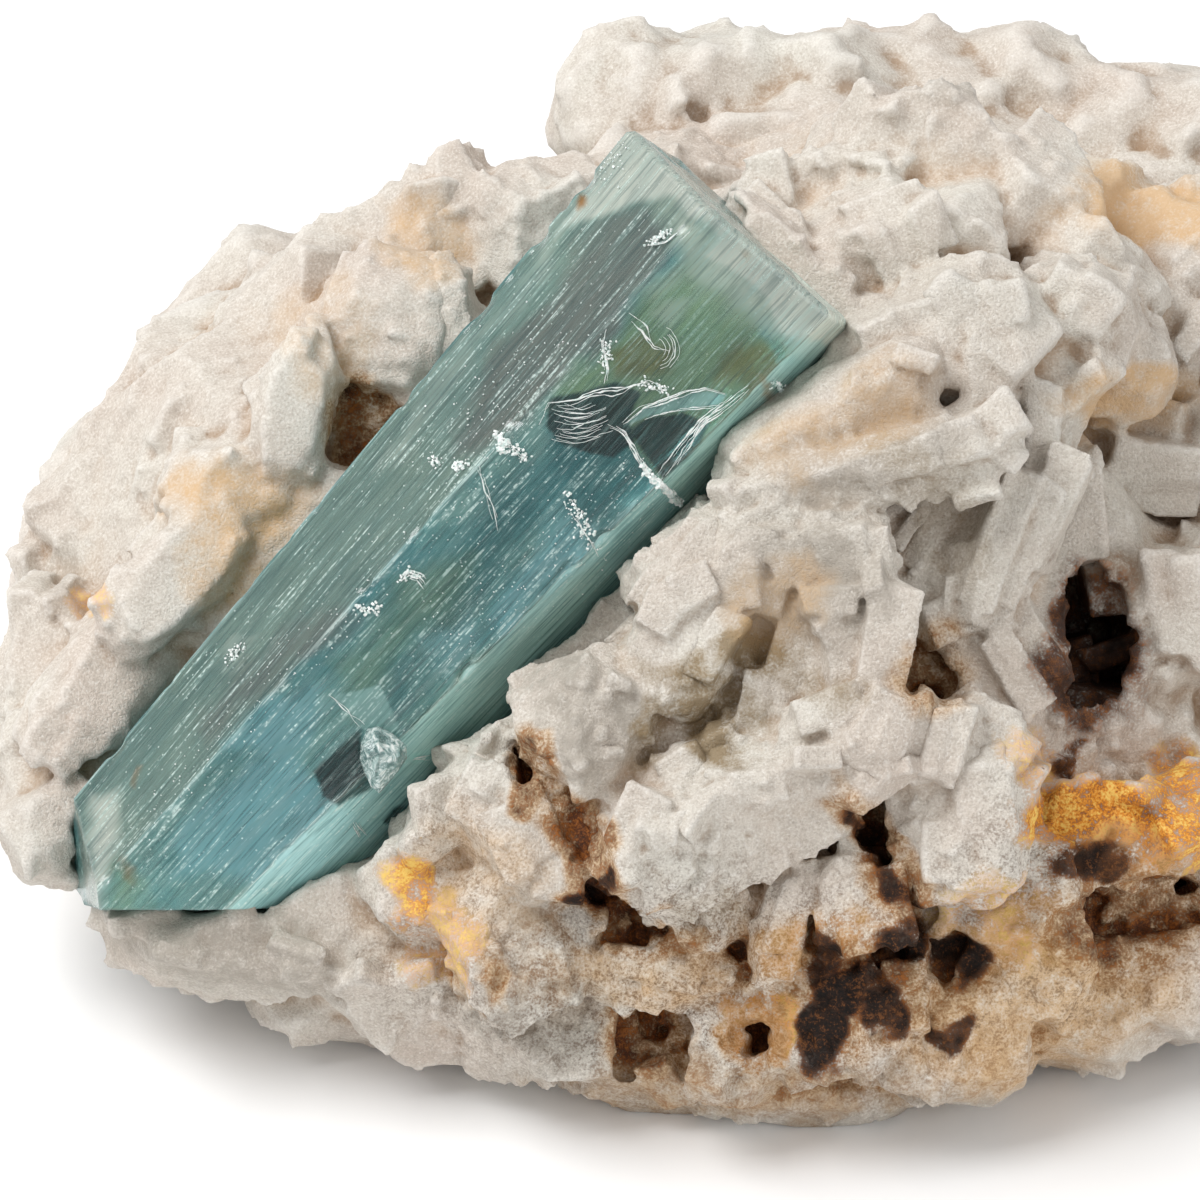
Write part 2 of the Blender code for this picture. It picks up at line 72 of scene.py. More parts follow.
def to_metres(places):
    """Places on the show face, in millimetres, as points of the model, in metres."""
    return (np.asarray(places) @ FACE + HEART) * MM


def to_face(points):
    """Points of the model, in metres, as places on the show face, in millimetres."""
    return (np.asarray(points) / MM - HEART) @ FACE.T


# --- noise and random shapes ----------------------------------------------------------------------------

VALUES = np.random.default_rng(SEED).random(LATTICE**3) * 2 - 1
VALUES = VALUES.astype(np.float32).reshape(LATTICE, LATTICE, LATTICE)


def eased(values, low, high):
    """0 below low and 1 above high, with a smooth rise between them."""
    part = np.clip((values - low) / (high - low), 0, 1)
    return part * part * (3 - 2 * part)


def cells_round(cell, part):
    """The eight cells whose middles are round each place, each with its share in the mean there."""
    for corner in np.ndindex(2, 2, 2):
        yield cell + corner, np.prod(np.where(corner, part, 1 - part), axis=1)


def noise(places, size, seed):
    """A smooth random field from -1 to 1. Space is cut into cubes of the given size with a random number at
    each corner, and a place takes the eased, three-way mean of the eight corners round it."""
    scaled = places / size + seed * 7.31
    cell = np.floor(scaled).astype(np.int64)
    total = np.zeros(len(places))
    for at, share in cells_round(cell, eased(scaled - cell, 0, 1)):
        total += share * VALUES[tuple((at & (LATTICE - 1)).T)]
    return total


def fractal(places, size, octaves, seed):
    """Noise fields added up, each half the size and half the height of the one before it."""
    return sum(noise(places, size / 2**k, seed + k) / 2**k for k in range(octaves))


def random_turns(count, dice, spread=None):
    """Turns as count 3 x 3 matrices, from quaternions with random parts. A spread makes them small turns."""
    parts = dice.normal(size=(count, 4))
    if spread is not None:
        parts[:, 1:] *= spread
        parts[:, 0] = 1.0
    w, x, y, z = (parts / np.linalg.norm(parts, axis=1, keepdims=True)).T
    rows = [
        [1 - 2 * (y * y + z * z), 2 * (x * y - z * w), 2 * (x * z + y * w)],
        [2 * (x * y + z * w), 1 - 2 * (x * x + z * z), 2 * (y * z - x * w)],
        [2 * (x * z - y * w), 2 * (y * z + x * w), 1 - 2 * (x * x + y * y)],
    ]
    return np.stack([np.stack(row, axis=1) for row in rows], axis=1)


BOX_SIGNS = np.array([(x, y, z) for x in (-1, 1) for y in (-1, 1) for z in (-1, 1)], float)
BOX_FACES = np.array([(0, 1, 3, 2), (4, 6, 7, 5), (0, 4, 5, 1), (2, 3, 7, 6), (0, 2, 6, 4), (1, 5, 7, 3)])
BOX_UNEVEN = 0.14  # how much a corner's distance from the middle varies


def box_corners(middles, turns, halves, dice):
    """Eight corners for each of many crystals. A corner is the crystal's middle plus its half sizes, signed
    for that corner and varied a little, turned by the crystal's own matrix."""
    uneven = 1 + dice.uniform(-BOX_UNEVEN, BOX_UNEVEN, (len(middles), 8, 3))
    corners = BOX_SIGNS[None] * halves[:, None, :] * uneven
    return np.einsum("nij,nkj->nki", turns, corners) + middles[:, None, :]


def box_mesh(corners):
    """Closed six-sided crystals from their corners, as points and faces."""
    faces = BOX_FACES[None] + (np.arange(len(corners)) * 8)[:, None, None]
    return corners.reshape(-1, 3), faces.reshape(-1, 4)


def halved(quads):
    """Four-sided faces split into triangles."""
    return np.concatenate((quads[:, (0, 1, 2)], quads[:, (0, 2, 3)]))


def closed_grid_faces(rows, around):
    """Quads between neighbouring rows of a grid that closes on itself sideways."""
    at = np.arange(rows - 1)[:, None] * around + np.arange(around)[None]
    beside = np.arange(rows - 1)[:, None] * around + (np.arange(around) + 1)[None] % around
    return np.stack((at, beside, beside + around, at + around), axis=-1).reshape(-1, 4)


def capped_grid_faces(rows, around):
    """Triangles of such a grid, closed at its first and last row by fans round two more points."""
    ring = np.arange(around)
    after = (ring + 1) % around
    last = around * (rows - 1)
    first_middle = np.full(around, rows * around)
    first_fan = np.stack((first_middle, after, ring), axis=1)
    last_fan = np.stack((first_middle + 1, last + ring, last + after), axis=1)
    return np.concatenate((halved(closed_grid_faces(rows, around)), first_fan, last_fan))


def turned(spin, pitch, yaw):
    """A turn on the show face: spin goes anticlockwise, pitch tips the top outwards and yaw swings the left
    side outwards."""
    return np.array(Euler((math.radians(pitch), math.radians(yaw), math.radians(spin)), "XYZ").to_matrix())


PLATE_SIDES = 44
PLATE_LAP = 0.56  # half a plate's thickness for the step to the next, so that plates overlap


def plate_book(middle, size, angles, plates, fan, dice):
    """A stack of thin plates as points in metres and faces. Each plate is an oval whose rim is pushed in and
    out by random steps, with a flat front and back that meet in fans, and it is shifted, shrunk and turned a
    little against the plate before it."""
    thick = size[2] / plates
    points = []
    for k in range(plates):
        angle = np.arange(PLATE_SIDES) + dice.uniform(-0.3, 0.3, PLATE_SIDES)
        angle = 2 * np.pi * angle / PLATE_SIDES
        square = 1 / np.maximum(np.abs(np.cos(angle)), np.abs(np.sin(angle)))
        teeth = np.repeat(dice.uniform(0.84, 1.05, PLATE_SIDES // 2), 2)
        teeth = teeth * dice.uniform(0.97, 1.02, PLATE_SIDES)
        reach = 0.35 + 0.65 * np.minimum(square, 1.24) * teeth
        scale = dice.uniform(0.80, 1.0) * (0.88 if k == plates - 1 else 1.0)
        rim = np.stack((np.cos(angle) * reach * size[0] / 2, np.sin(angle) * reach * size[1] / 2), 1) * scale
        shift = dice.uniform(-0.05, 0.05, 2) * (size[0], size[1])
        spin = math.radians(fan * (k - plates / 2) + dice.uniform(-2, 2))
        rim = rim @ np.array(((math.cos(spin), math.sin(spin)), (-math.sin(spin), math.cos(spin)))) + shift
        tilt = dice.uniform(-0.02, 0.02, 2)
        level = (k + 0.5) * thick - size[2] / 2
        rims, middles = [], []
        for side, drawn_in in ((-PLATE_LAP, 1.0), (PLATE_LAP, 0.97)):
            for found, flat in ((rims, rim * drawn_in), (middles, shift[None])):
                found.append(np.column_stack((flat, level + side * thick + flat @ tilt)))
        points += rims + middles
    sides = capped_grid_faces(2, PLATE_SIDES)
    faces = np.concatenate([sides + k * 2 * (PLATE_SIDES + 1) for k in range(plates)])
    return to_metres(np.concatenate(points) @ turned(*angles).T + middle), faces


def block_corners(middle, size, angles, strands, dice):
    """The corners of a few slender boxes side by side, each of its own length and depth, as one block."""
    wide, tall, deep = size
    share = dice.uniform(0.7, 1.3, strands)
    share *= wide / share.sum()
    left = np.cumsum(share) - share / 2 - wide / 2
    halves = np.stack((share * 0.56, np.full(strands, tall / 2), np.full(strands, deep / 2)), axis=1)
    places = np.stack((left, np.zeros(strands), np.zeros(strands)), axis=1)
    if strands > 1:
        halves[:, 1] *= dice.uniform(0.72, 1.0, strands)
        places[:, 1] = dice.uniform(-0.09, 0.09, strands) * tall
        places[:, 2] = dice.uniform(-0.35, 0.15, strands)
    turn = turned(*angles)
    turns = np.einsum("ij,njk->nik", turn, random_turns(strands, dice, 0.03))
    return box_corners(places @ turn.T + middle, turns, halves * 1.04, dice)


# --- meshes and objects ---------------------------------------------------------------------------------


def mesh_from(name, points, faces, smooth=True):
    """A mesh from an array of points in metres and an array of faces of one size."""
    mesh = bpy.data.meshes.new(name)
    mesh.vertices.add(len(points))
    mesh.vertices.foreach_set("co", np.asarray(points, np.float32).ravel())
    mesh.loops.add(faces.size)
    mesh.loops.foreach_set("vertex_index", faces.astype(np.int32).ravel())
    mesh.polygons.add(len(faces))
    mesh.polygons.foreach_set("loop_start", np.arange(len(faces), dtype=np.int32) * faces.shape[1])
    mesh.update(calc_edges=True)
    mesh.validate()
    mesh.polygons.foreach_set("use_smooth", np.full(len(mesh.polygons), smooth))
    return mesh


def read_rows(items, key, width, kind=np.float32):
    """One property of each of a mesh's points, edges or faces, as an array with a row for each."""
    found = np.zeros(len(items) * width, kind)
    items.foreach_get(key, found)
    return found.reshape(-1, width)


def points_of(mesh):
    return read_rows(mesh.vertices, "co", 3).astype(float)


def triangles_of(mesh):
    """Corners of every triangle, as an array of (triangle, corner, axis)."""
    mesh.calc_loop_triangles()
    return points_of(mesh)[read_rows(mesh.loop_triangles, "vertices", 3, np.int32)]


def give_layer(mesh, name, values):
    """A number for each vertex, which materials read as an attribute."""
    layer = mesh.attributes.new(name, "FLOAT", "POINT")
    layer.data.foreach_set("value", np.asarray(values, np.float32))


def mended(mesh, merge=True, outwards=True):
    """The mesh with its doubled points merged and its faces turned outwards."""
    shape = bmesh.new()
    shape.from_mesh(mesh)
    if merge:
        bmesh.ops.remove_doubles(shape, verts=shape.verts, dist=MERGE)
    if outwards:
        bmesh.ops.recalc_face_normals(shape, faces=shape.faces)
    shape.to_mesh(mesh)
    shape.free()
    return mesh


def linked(name, data):
    """A new object of the scene."""
    thing = bpy.data.objects.new(name, data)
    bpy.context.scene.collection.objects.link(thing)
    return thing


def modified(mesh, kind, **settings):
    """A new mesh: the given one as a modifier with these settings leaves it."""
    body = linked("body", mesh)
    modifier = body.modifiers.new(kind.lower(), kind)
    for key, value in settings.items():
        setattr(modifier, key, value)
    bpy.context.view_layer.update()
    evaluated = body.evaluated_get(bpy.context.evaluated_depsgraph_get())
    result = bpy.data.meshes.new_from_object(evaluated)
    bpy.data.objects.remove(body)
    return result


def place_piece(mesh, material, slot, *nodes):
    """A finished piece at the origin that rides on the specimen and stands for the named solids."""
    piece = linked(mesh.name, mesh)
    mesh.materials.clear()
    mesh.materials.append(material)
    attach(piece, "root")
    if nodes:
        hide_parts(*nodes)


# --- materials ------------------------------------------------------------------------------------------


def linear(hex_colour):
    """An sRGB hex colour as linear red, green, blue and alpha."""
    parts = [int(hex_colour[i : i + 2], 16) / 255 for i in (1, 3, 5)]
    return [c / 12.92 if c <= 0.04045 else ((c + 0.055) / 1.055) ** 2.4 for c in parts] + [1.0]


def connect(tree, node, inputs):
    """Sets a node's inputs. Each is another node, one of its sockets, a hex colour or a constant."""
    for key, value in inputs.items():
        if isinstance(value, bpy.types.Node):
            value = value.outputs[0]
        if isinstance(value, bpy.types.NodeSocket):
            tree.links.new(value, node.inputs[key])
        else:
            node.inputs[key].default_value = linear(value) if isinstance(value, str) else value


def add_node(tree, kind, inputs=None, stops=(), **settings):
    """One node with its settings and inputs. Stops are the places and colours of a colour ramp."""
    node = tree.nodes.new(kind)
    for key, value in settings.items():
        setattr(node, key, value)
    connect(tree, node, inputs or {})
    for _ in stops[2:]:
        node.color_ramp.elements.new(0.5)
    for k, (place, colour) in enumerate(stops):
        node.color_ramp.elements[k].position = place
        node.color_ramp.elements[k].color = linear(colour) if isinstance(colour, str) else colour
    return node


def new_material(name):
    """A material with a Principled shader only, as (material, node tree, shader)."""
    material = bpy.data.materials.new(name)
    material.use_nodes = True
    tree = material.node_tree
    return material, tree, tree.nodes["Principled BSDF"]


def coated(tree, colour, coats):
    """A colour under coats, the lowest first. A coat is a pattern, the colour it brings, the pattern's values
    from which it starts and at which it is full, and how much it then covers."""
    for pattern, over, low, high, most in coats:
        cover = add_node(tree, "ShaderNodeMapRange", {
            "Value": pattern, "From Min": low, "From Max": high, "To Max": most})
        mixed = add_node(tree, "ShaderNodeMix", {0: cover, 6: colour, 7: over}, data_type="RGBA")
        colour = mixed.outputs["Result"]
    return colour


def weighted(tree, start, *parts):
    """A start value or pattern plus every other pattern times its share."""
    total = start
    for pattern, share in parts:
        total = add_node(tree, "ShaderNodeMath", {0: pattern, 1: share, 2: total}, operation="MULTIPLY_ADD")
    return total


def picked(tree, pattern, low, high, *masks):
    """Where a pattern is past a level, from none at low to all at high, thinned by every mask."""
    chosen = add_node(tree, "ShaderNodeMapRange", {"Value": pattern, "From Min": low, "From Max": high})
    for mask in masks:
        chosen = add_node(tree, "ShaderNodeMath", {0: chosen, 1: mask}, operation="MULTIPLY")
    return chosen


# --- settings -------------------------------------------------------------------------------------------


def colour_setting(name, description, hex_colour):
    """A colour that the panel offers."""
    return FloatVectorProperty(
        name=name, description=description, subtype="COLOR", size=4, min=0, max=1, default=linear(hex_colour))


def length_setting(name, description, millimetres):
    """A length that the panel offers."""
    return FloatProperty(
        name=name, description=description, unit="LENGTH", precision=5, min=0, default=millimetres * MM)


def power_setting(name, description, watts):
    """A lamp's power that the panel offers."""
    return FloatProperty(name=name, description=description, unit="POWER", min=0, default=watts)


class SPECIMEN_PG_rock(bpy.types.PropertyGroup):
    """Colours and sizes of the albite rock"""

    white: colour_setting("White", "Cool white of clean albite", "#D3CFC5")
    rose: colour_setting("Rose", "Faint rose of its warmer patches", "#C8BBAF")
    cream: colour_setting("Cream", "Weak iron stain on the raised parts", "#CDA97C")
    # Painted shade: a soft brown laid in the sheltered recesses between crystals.
    umber_shade: colour_setting("Umber", "Soft brown of sheltered hollows", "#86714F")
    ochre: colour_setting("Ochre", "Middle tone of the yellow ochre", "#D98812")
    rust: colour_setting("Rust", "Middle tone of the brown iron stains", "#5A2F16")
    manganese: colour_setting("Manganese", "Middle tone of the black manganese crust", "#21130B")
    waves: length_setting("Waves", "How far the broad waves of the skin stand in or out", 0.09)
    sugar: length_setting("Sugar grain", "Size of the sugary crystals that the finish shows", 0.15)


class SPECIMEN_PG_prism(bpy.types.PropertyGroup):
    """Colours and sizes of the aquamarine"""

    body: colour_setting("Body", "Blue-green of the beryl", "#7FBEBC")
    smoke: colour_setting("Smoke", "Greyish zones under the left side", "#8C8F88")
    deep: colour_setting("Deep", "Clear, deep windows", "#3E8287")
    green: colour_setting("Green", "Green zones", "#94B484")
    olive: colour_setting("Olive", "Iron-rich olive zones", "#857F40")
    blue: colour_setting("Blue", "Sky-blue zones", "#9ADFE8")
    pale: colour_setting("Pale", "Pale zones near the top", "#C6DCC6")
    frost: colour_setting("Frost", "Frosted skin round the top", "#D9DDD0")
    milk: colour_setting("Milk", "Milky tubes and dots", "#E2EFEA")
    inside: colour_setting("Inside", "Colour that light takes on inside", "#5FA9B0")
    density: FloatProperty(
        name="Density", description="How strongly the inside absorbs, for each metre", min=0, default=40.0)
    grooves: length_setting("Grooves", "Depth of the steps and grooves along the sides", 0.07)
    chips: length_setting("Chips", "Depth of the chips along the edges", 0.55)
    crack_width: FloatProperty(
        name="Crack width", description="Width of the healed cracks, as a share of the table's",
        subtype="FACTOR", min=0.1, max=3.0, default=0.62)


class SPECIMEN_PG_studio(bpy.types.PropertyGroup):
    """Light, floor and view"""

    floor: colour_setting("Floor", "Colour of the card under the rock", "#F7F7F7")
    softbox: power_setting("Softbox", "Power of the upper lamp", 4.2)
    fill: power_setting("Fill", "Power of the lamp on the right", 1.0)
    view: length_setting("View", "Width of the view at the heart of the rock", 66.0)


# --- albite ---------------------------------------------------------------------------------------------

# Stretches of the rock as (right from, to), (up from, to), (out from, to) and the grain of the mesh.
SPLIT_OUT = -16.0
FRONT = (SPLIT_OUT, FAR)
STRETCHES = {
    "albite_left_slope": ((-FAR, -9.0), (-FAR, FAR), FRONT, 0.30),
    "albite_crest": ((-9.0, 18.4), (7.0, FAR), FRONT, 0.27),
    "albite_ledge": ((-9.0, 6.0), (-8.0, 7.0), FRONT, 0.21),
    "albite_shelf": ((6.0, 17.6), (-8.0, 7.0), FRONT, 0.20),
    "albite_foot": ((-9.0, 5.0), (-FAR, -8.0), FRONT, 0.21),
    "albite_stained_foot": ((5.0, 17.6), (-FAR, -8.0), FRONT, 0.20),
    "albite_far_crest": ((18.4, FAR), (7.0, FAR), FRONT, 0.32),
    "albite_columns": ((17.6, 27.5), (-9.0, 7.0), FRONT, 0.21),
    "albite_right_edge": ((27.5, FAR), (-9.0, 7.0), FRONT, 0.33),
    "albite_right_foot": ((17.6, FAR), (-FAR, -9.0), FRONT, 0.28),
    "albite_far_side": ((-FAR, FAR), (-FAR, FAR), (-FAR, SPLIT_OUT), 0.5),
}
OVERLAP = 1.0  # how far the body of one stretch runs under the next
SINK = 0.45  # how deep it dips there
CLEARANCE = 0.06  # how far the albite is pushed clear of the prism's flats

# Crystals grown over the solids: how many for each square centimetre, half sizes from and to, thickness for
# their width, how far they lean from the surface and how much of their thickness stands out.
GROWTHS = [
    (3.5, (0.9, 1.9), 0.40, 0.16, 0.5),
    (16, (0.45, 1.0), 0.45, 0.18, 0.35),
    (8, (0.3, 0.6), 0.8, 3.0, 0.2),
    (80, (0.2, 0.36), 0.6, 0.35, 0.4),
]
CALM = 0.75  # how much lower the crystals stand on the old, rounded slopes behind the prism
LEFTWARDS = np.array((-0.744, 0.668))  # the way on the show face to the left of the prism's axis
AXIS_LEFT = 7.3  # how far that way the axis passes by the heart
BEFORE_ROCK = 60.0  # how far out the lines start that look for the rock's front

# Books of thin plates: middle, (long, wide, thick), (spin, pitch, yaw), plates and how many degrees each
# plate is fanned from the one before it.
BOOKS = [
    ((12.7, 9.9, 6), (13.6, 5.2, 5), (31, 25, 0), 7, 0),
    ((15.3, 7.2, 8), (16.6, 4.2, 3.6), (14, 20, 0), 7, 1),
    ((14, -2.6, 8.2), (4.6, 10, 5.4), (4, 0, 0), 6, 2),
    ((19.8, -10.8, 7.6), (7.6, 11.5, 4.6), (-10, 0, -10), 7, 3),
    ((17, -7.2, 9.2), (6.6, 4.6, 4), (10, 0, 0), 5, 3),
    ((9.7, -17.6, 5.8), (3, 7.2, 4.2), (-14, 0, 0), 5, 4),
    ((21.8, 2.6, 2.8), (5, 10.6, 4), (-26, 0, 0), 6, 2),
    ((24.2, 8.8, 1.2), (2.6, 6.2, 4), (3, 0, 0), 4, 2),
    ((21.4, -4.9, -0.8), (3.2, 8.6, 4), (24, 0, 0), 5, 2),
    ((23.6, -4.4, -2.2), (3, 8.2, 4), (22, 0, 0), 5, 2),
    ((11.4, 17.6, 0.4), (12.5, 3, 5.6), (-47, 0, 0), 6, 0),
    ((-16.8, 10.5, -4.3), (4.4, 9, 4.4), (-12, 10, 0), 5, 2),
    ((-26.4, -3.3, -5.8), (16, 6, 4.8), (50, 0, 20), 6, 1),
    ((-23.4, 1.4, -3.8), (12, 5, 4.8), (48, 0, 15), 5, 1),
    ((30.4, 7.6, -8.8), (6.6, 4.6, 6), (0, 0, 0), 5, 0),
    ((5.6, 1.4, 7), (6.8, 5.6, 5.6), (45, 0, 20), 5, 2),
    ((8.9, 2.4, 7.2), (6.8, 6.2, 5.6), (20, 10, 0), 5, 2),
    ((12.7, 2.2, 7.4), (6.2, 5.4, 5.6), (-4, 5, 0), 5, 2),
    ((14, -16.2, 7), (4.8, 5.4, 4.2), (8, 0, 0), 4, 0),
    ((18.8, -0.2, 0.8), (4.4, 6, 3), (-30, 0, 0), 4, 3),
]

# Blocks of albite: (right, up), how far they stand out of the rock, (wide, tall, deep), (spin, pitch, yaw)
# and how many slender crystals stand side by side in each.
BLOCKS = [
    ((22, 3.1), 1.5, (3.4, 9, 4), (-18, 4, 8), 3), ((18.5, 3.9), 0.9, (4, 4.4, 3.5), (-35, 0, 5), 4),
    ((24.6, 4.8), 1.3, (1.8, 6.4, 3.5), (-20, 0, -8), 1), ((24, 9.3), 1.2, (1.8, 5.2, 4), (3, 0, 0), 1),
    ((19, -1.1), 1, (3.1, 2.5, 3), (20, 0, 10), 2), ((22.4, -4.2), 1, (1.9, 6.2, 3), (33, 0, 12), 2),
    ((23.6, -2.2), 0.8, (2, 4.6, 3), (28, 0, -10), 1), ((26.3, 4.6), 1.2, (2.9, 5, 4), (5, 0, 0), 1),
    ((30.8, 7.3), 1.8, (4.6, 3.6, 4), (-5, 10, 0), 1), ((32, -0.6), 1.5, (3.2, 7.6, 4), (10, 0, 0), 2),
    ((27.8, 8.8), 1, (2.4, 3.6, 3), (-12, 0, 10), 1), ((28.6, -3), 10, (2.6, 1.4, 6), (20, 0, 0), 1),
    ((28.6, 0.8), 6, (3, 2.6, 7), (12, 0, 0), 1), ((26.8, -3.6), 8, (1.6, 3, 6), (10, 0, 0), 1),
    ((27.8, -5.4), 9, (3.6, 2, 7), (-8, 10, 0), 1), ((27.1, 0), 1.6, (1.8, 4, 3), (-15, 0, 0), 1),
    ((13, 2.4), 1.1, (2.5, 3, 2.6), (5, 6, -6), 1), ((14.7, 2.4), 0.9, (1.6, 2.8, 2.6), (10, 0, 8), 1),
    ((8.5, 3.1), 0.9, (1.9, 1.7, 2), (-5, 10, 0), 1), ((7.5, 0.8), 0.9, (2.3, 2.6, 2.2), (12, 0, -8), 1),
    ((11.8, -2.3), 0.8, (4.8, 5, 3), (-10, -4, 4), 2), ((15.1, -2.4), 1.3, (2.3, 7, 3.4), (-5, 0, 6), 1),
    ((5.5, -2.4), 1, (3.1, 5.4, 2.8), (-33, 0, -8), 2), ((10.4, 2.3), 0.8, (2.3, 2.6, 2.2), (15, 8, 0), 1),
    ((8.8, 0.2), 0.7, (1.9, 1.7, 2), (-20, 0, 8), 1), ((12.2, -0.1), 0.9, (2.7, 1.5, 2.4), (-8, -8, 0), 1),
    ((5, 0.6), 0.8, (2.2, 2, 2.2), (30, 0, 0), 1), ((3.3, -0.6), 0.8, (2, 2.4, 2.2), (-30, 0, 0), 1),
    ((9.9, -4.4), 0.6, (2.4, 1.8, 2.2), (12, 0, 0), 1),
    ((14.7, -7.4), 1, (2.6, 4.6, 2.6), (-24, 0, 12), 2), ((12.3, -5.8), 0.7, (3.2, 2, 2.4), (18, 0, 0), 1),
    ((5.5, -8.4), 0.5, (4.4, 2.2, 2.4), (32, 10, 0), 2),
    ((2.2, -11.7), 0.5, (2.2, 3.4, 2.4), (-20, 0, -10), 1),
    ((18.1, -7.7), 0.7, (3, 5.4, 2.6), (-12, 0, -10), 3), ((20.6, -11), 0.7, (3, 6, 2.6), (10, 0, 10), 3),
    ((19, -13.8), 0.6, (3.4, 4, 2.6), (-6, -8, 0), 2), ((14.7, -16.8), 0.9, (3.8, 4.4, 2.6), (6, 0, 0), 3),
    ((10.3, -16.8), 0.8, (1.8, 5.4, 2.6), (-12, 0, 0), 2),
    ((16.8, 15.4), 0.8, (6, 2.6, 3), (24, 12, 0), 3), ((21.2, 15.9), 0.9, (3.6, 3, 3), (12, 0, 8), 2),
    ((11, 9.1), 0.5, (5, 1.6, 2.4), (26, 14, 0), 2), ((17.3, 8), 0.7, (6.4, 2.4, 2.8), (20, 6, 0), 3),
    ((21.2, 9.3), 0.8, (2.8, 2.6, 2.8), (30, 0, 10), 2),
    ((-4.1, -12.7), 0.8, (3.6, 4, 2.6), (24, 0, 0), 2),
    ((-2.2, -15.1), 0.5, (2.4, 2.2, 2.2), (-14, 0, 0), 1),
    ((-6.7, -10.4), 0.6, (1.8, 3, 2.2), (-35, 0, 0), 1),
    ((3.3, -20.1), 0.7, (4.4, 1.8, 2.4), (-12, 0, 0), 2),
    ((-3.3, -19.8), 0.5, (2.6, 2, 2.2), (14, 0, 0), 1), ((8, -20.1), 0.5, (1.8, 2.6, 2.2), (22, 0, 0), 1),
    ((16.8, 20.1), 0.5, (4.6, 3, 3), (28, 12, 0), 3), ((26.4, 16.5), 0.5, (4, 3.4, 3), (-32, 8, 0), 3),
    ((5.2, -7), 3.3, (4.8, 1.9, 3.8), (30, 0, 0), 2), ((7.1, -5.1), 3.4, (1.8, 2.2, 3.8), (-40, 0, 0), 1),
    ((3.5, -7.7), 3.6, (1.8, 1.8, 3.8), (10, 0, 0), 1),
]

# Crumbs: (right, up), radius of the patch, count, and half sizes from and to.
CRUMBS = [
    ((13, -22.2), 3.6, 260, (0.2, 0.55)),
    ((16.8, -18.8), 2, 60, (0.2, 0.5)),
    ((26.6, -13.6), 3.6, 150, (0.2, 0.5)),
    ((21, -20.5), 5, 160, (0.2, 0.6)),
    ((-6.4, -21.5), 3, 60, (0.2, 0.5)),
    ((3, -13), 7, 140, (0.2, 0.5)),
    ((29, -8), 3, 60, (0.2, 0.6)),
]
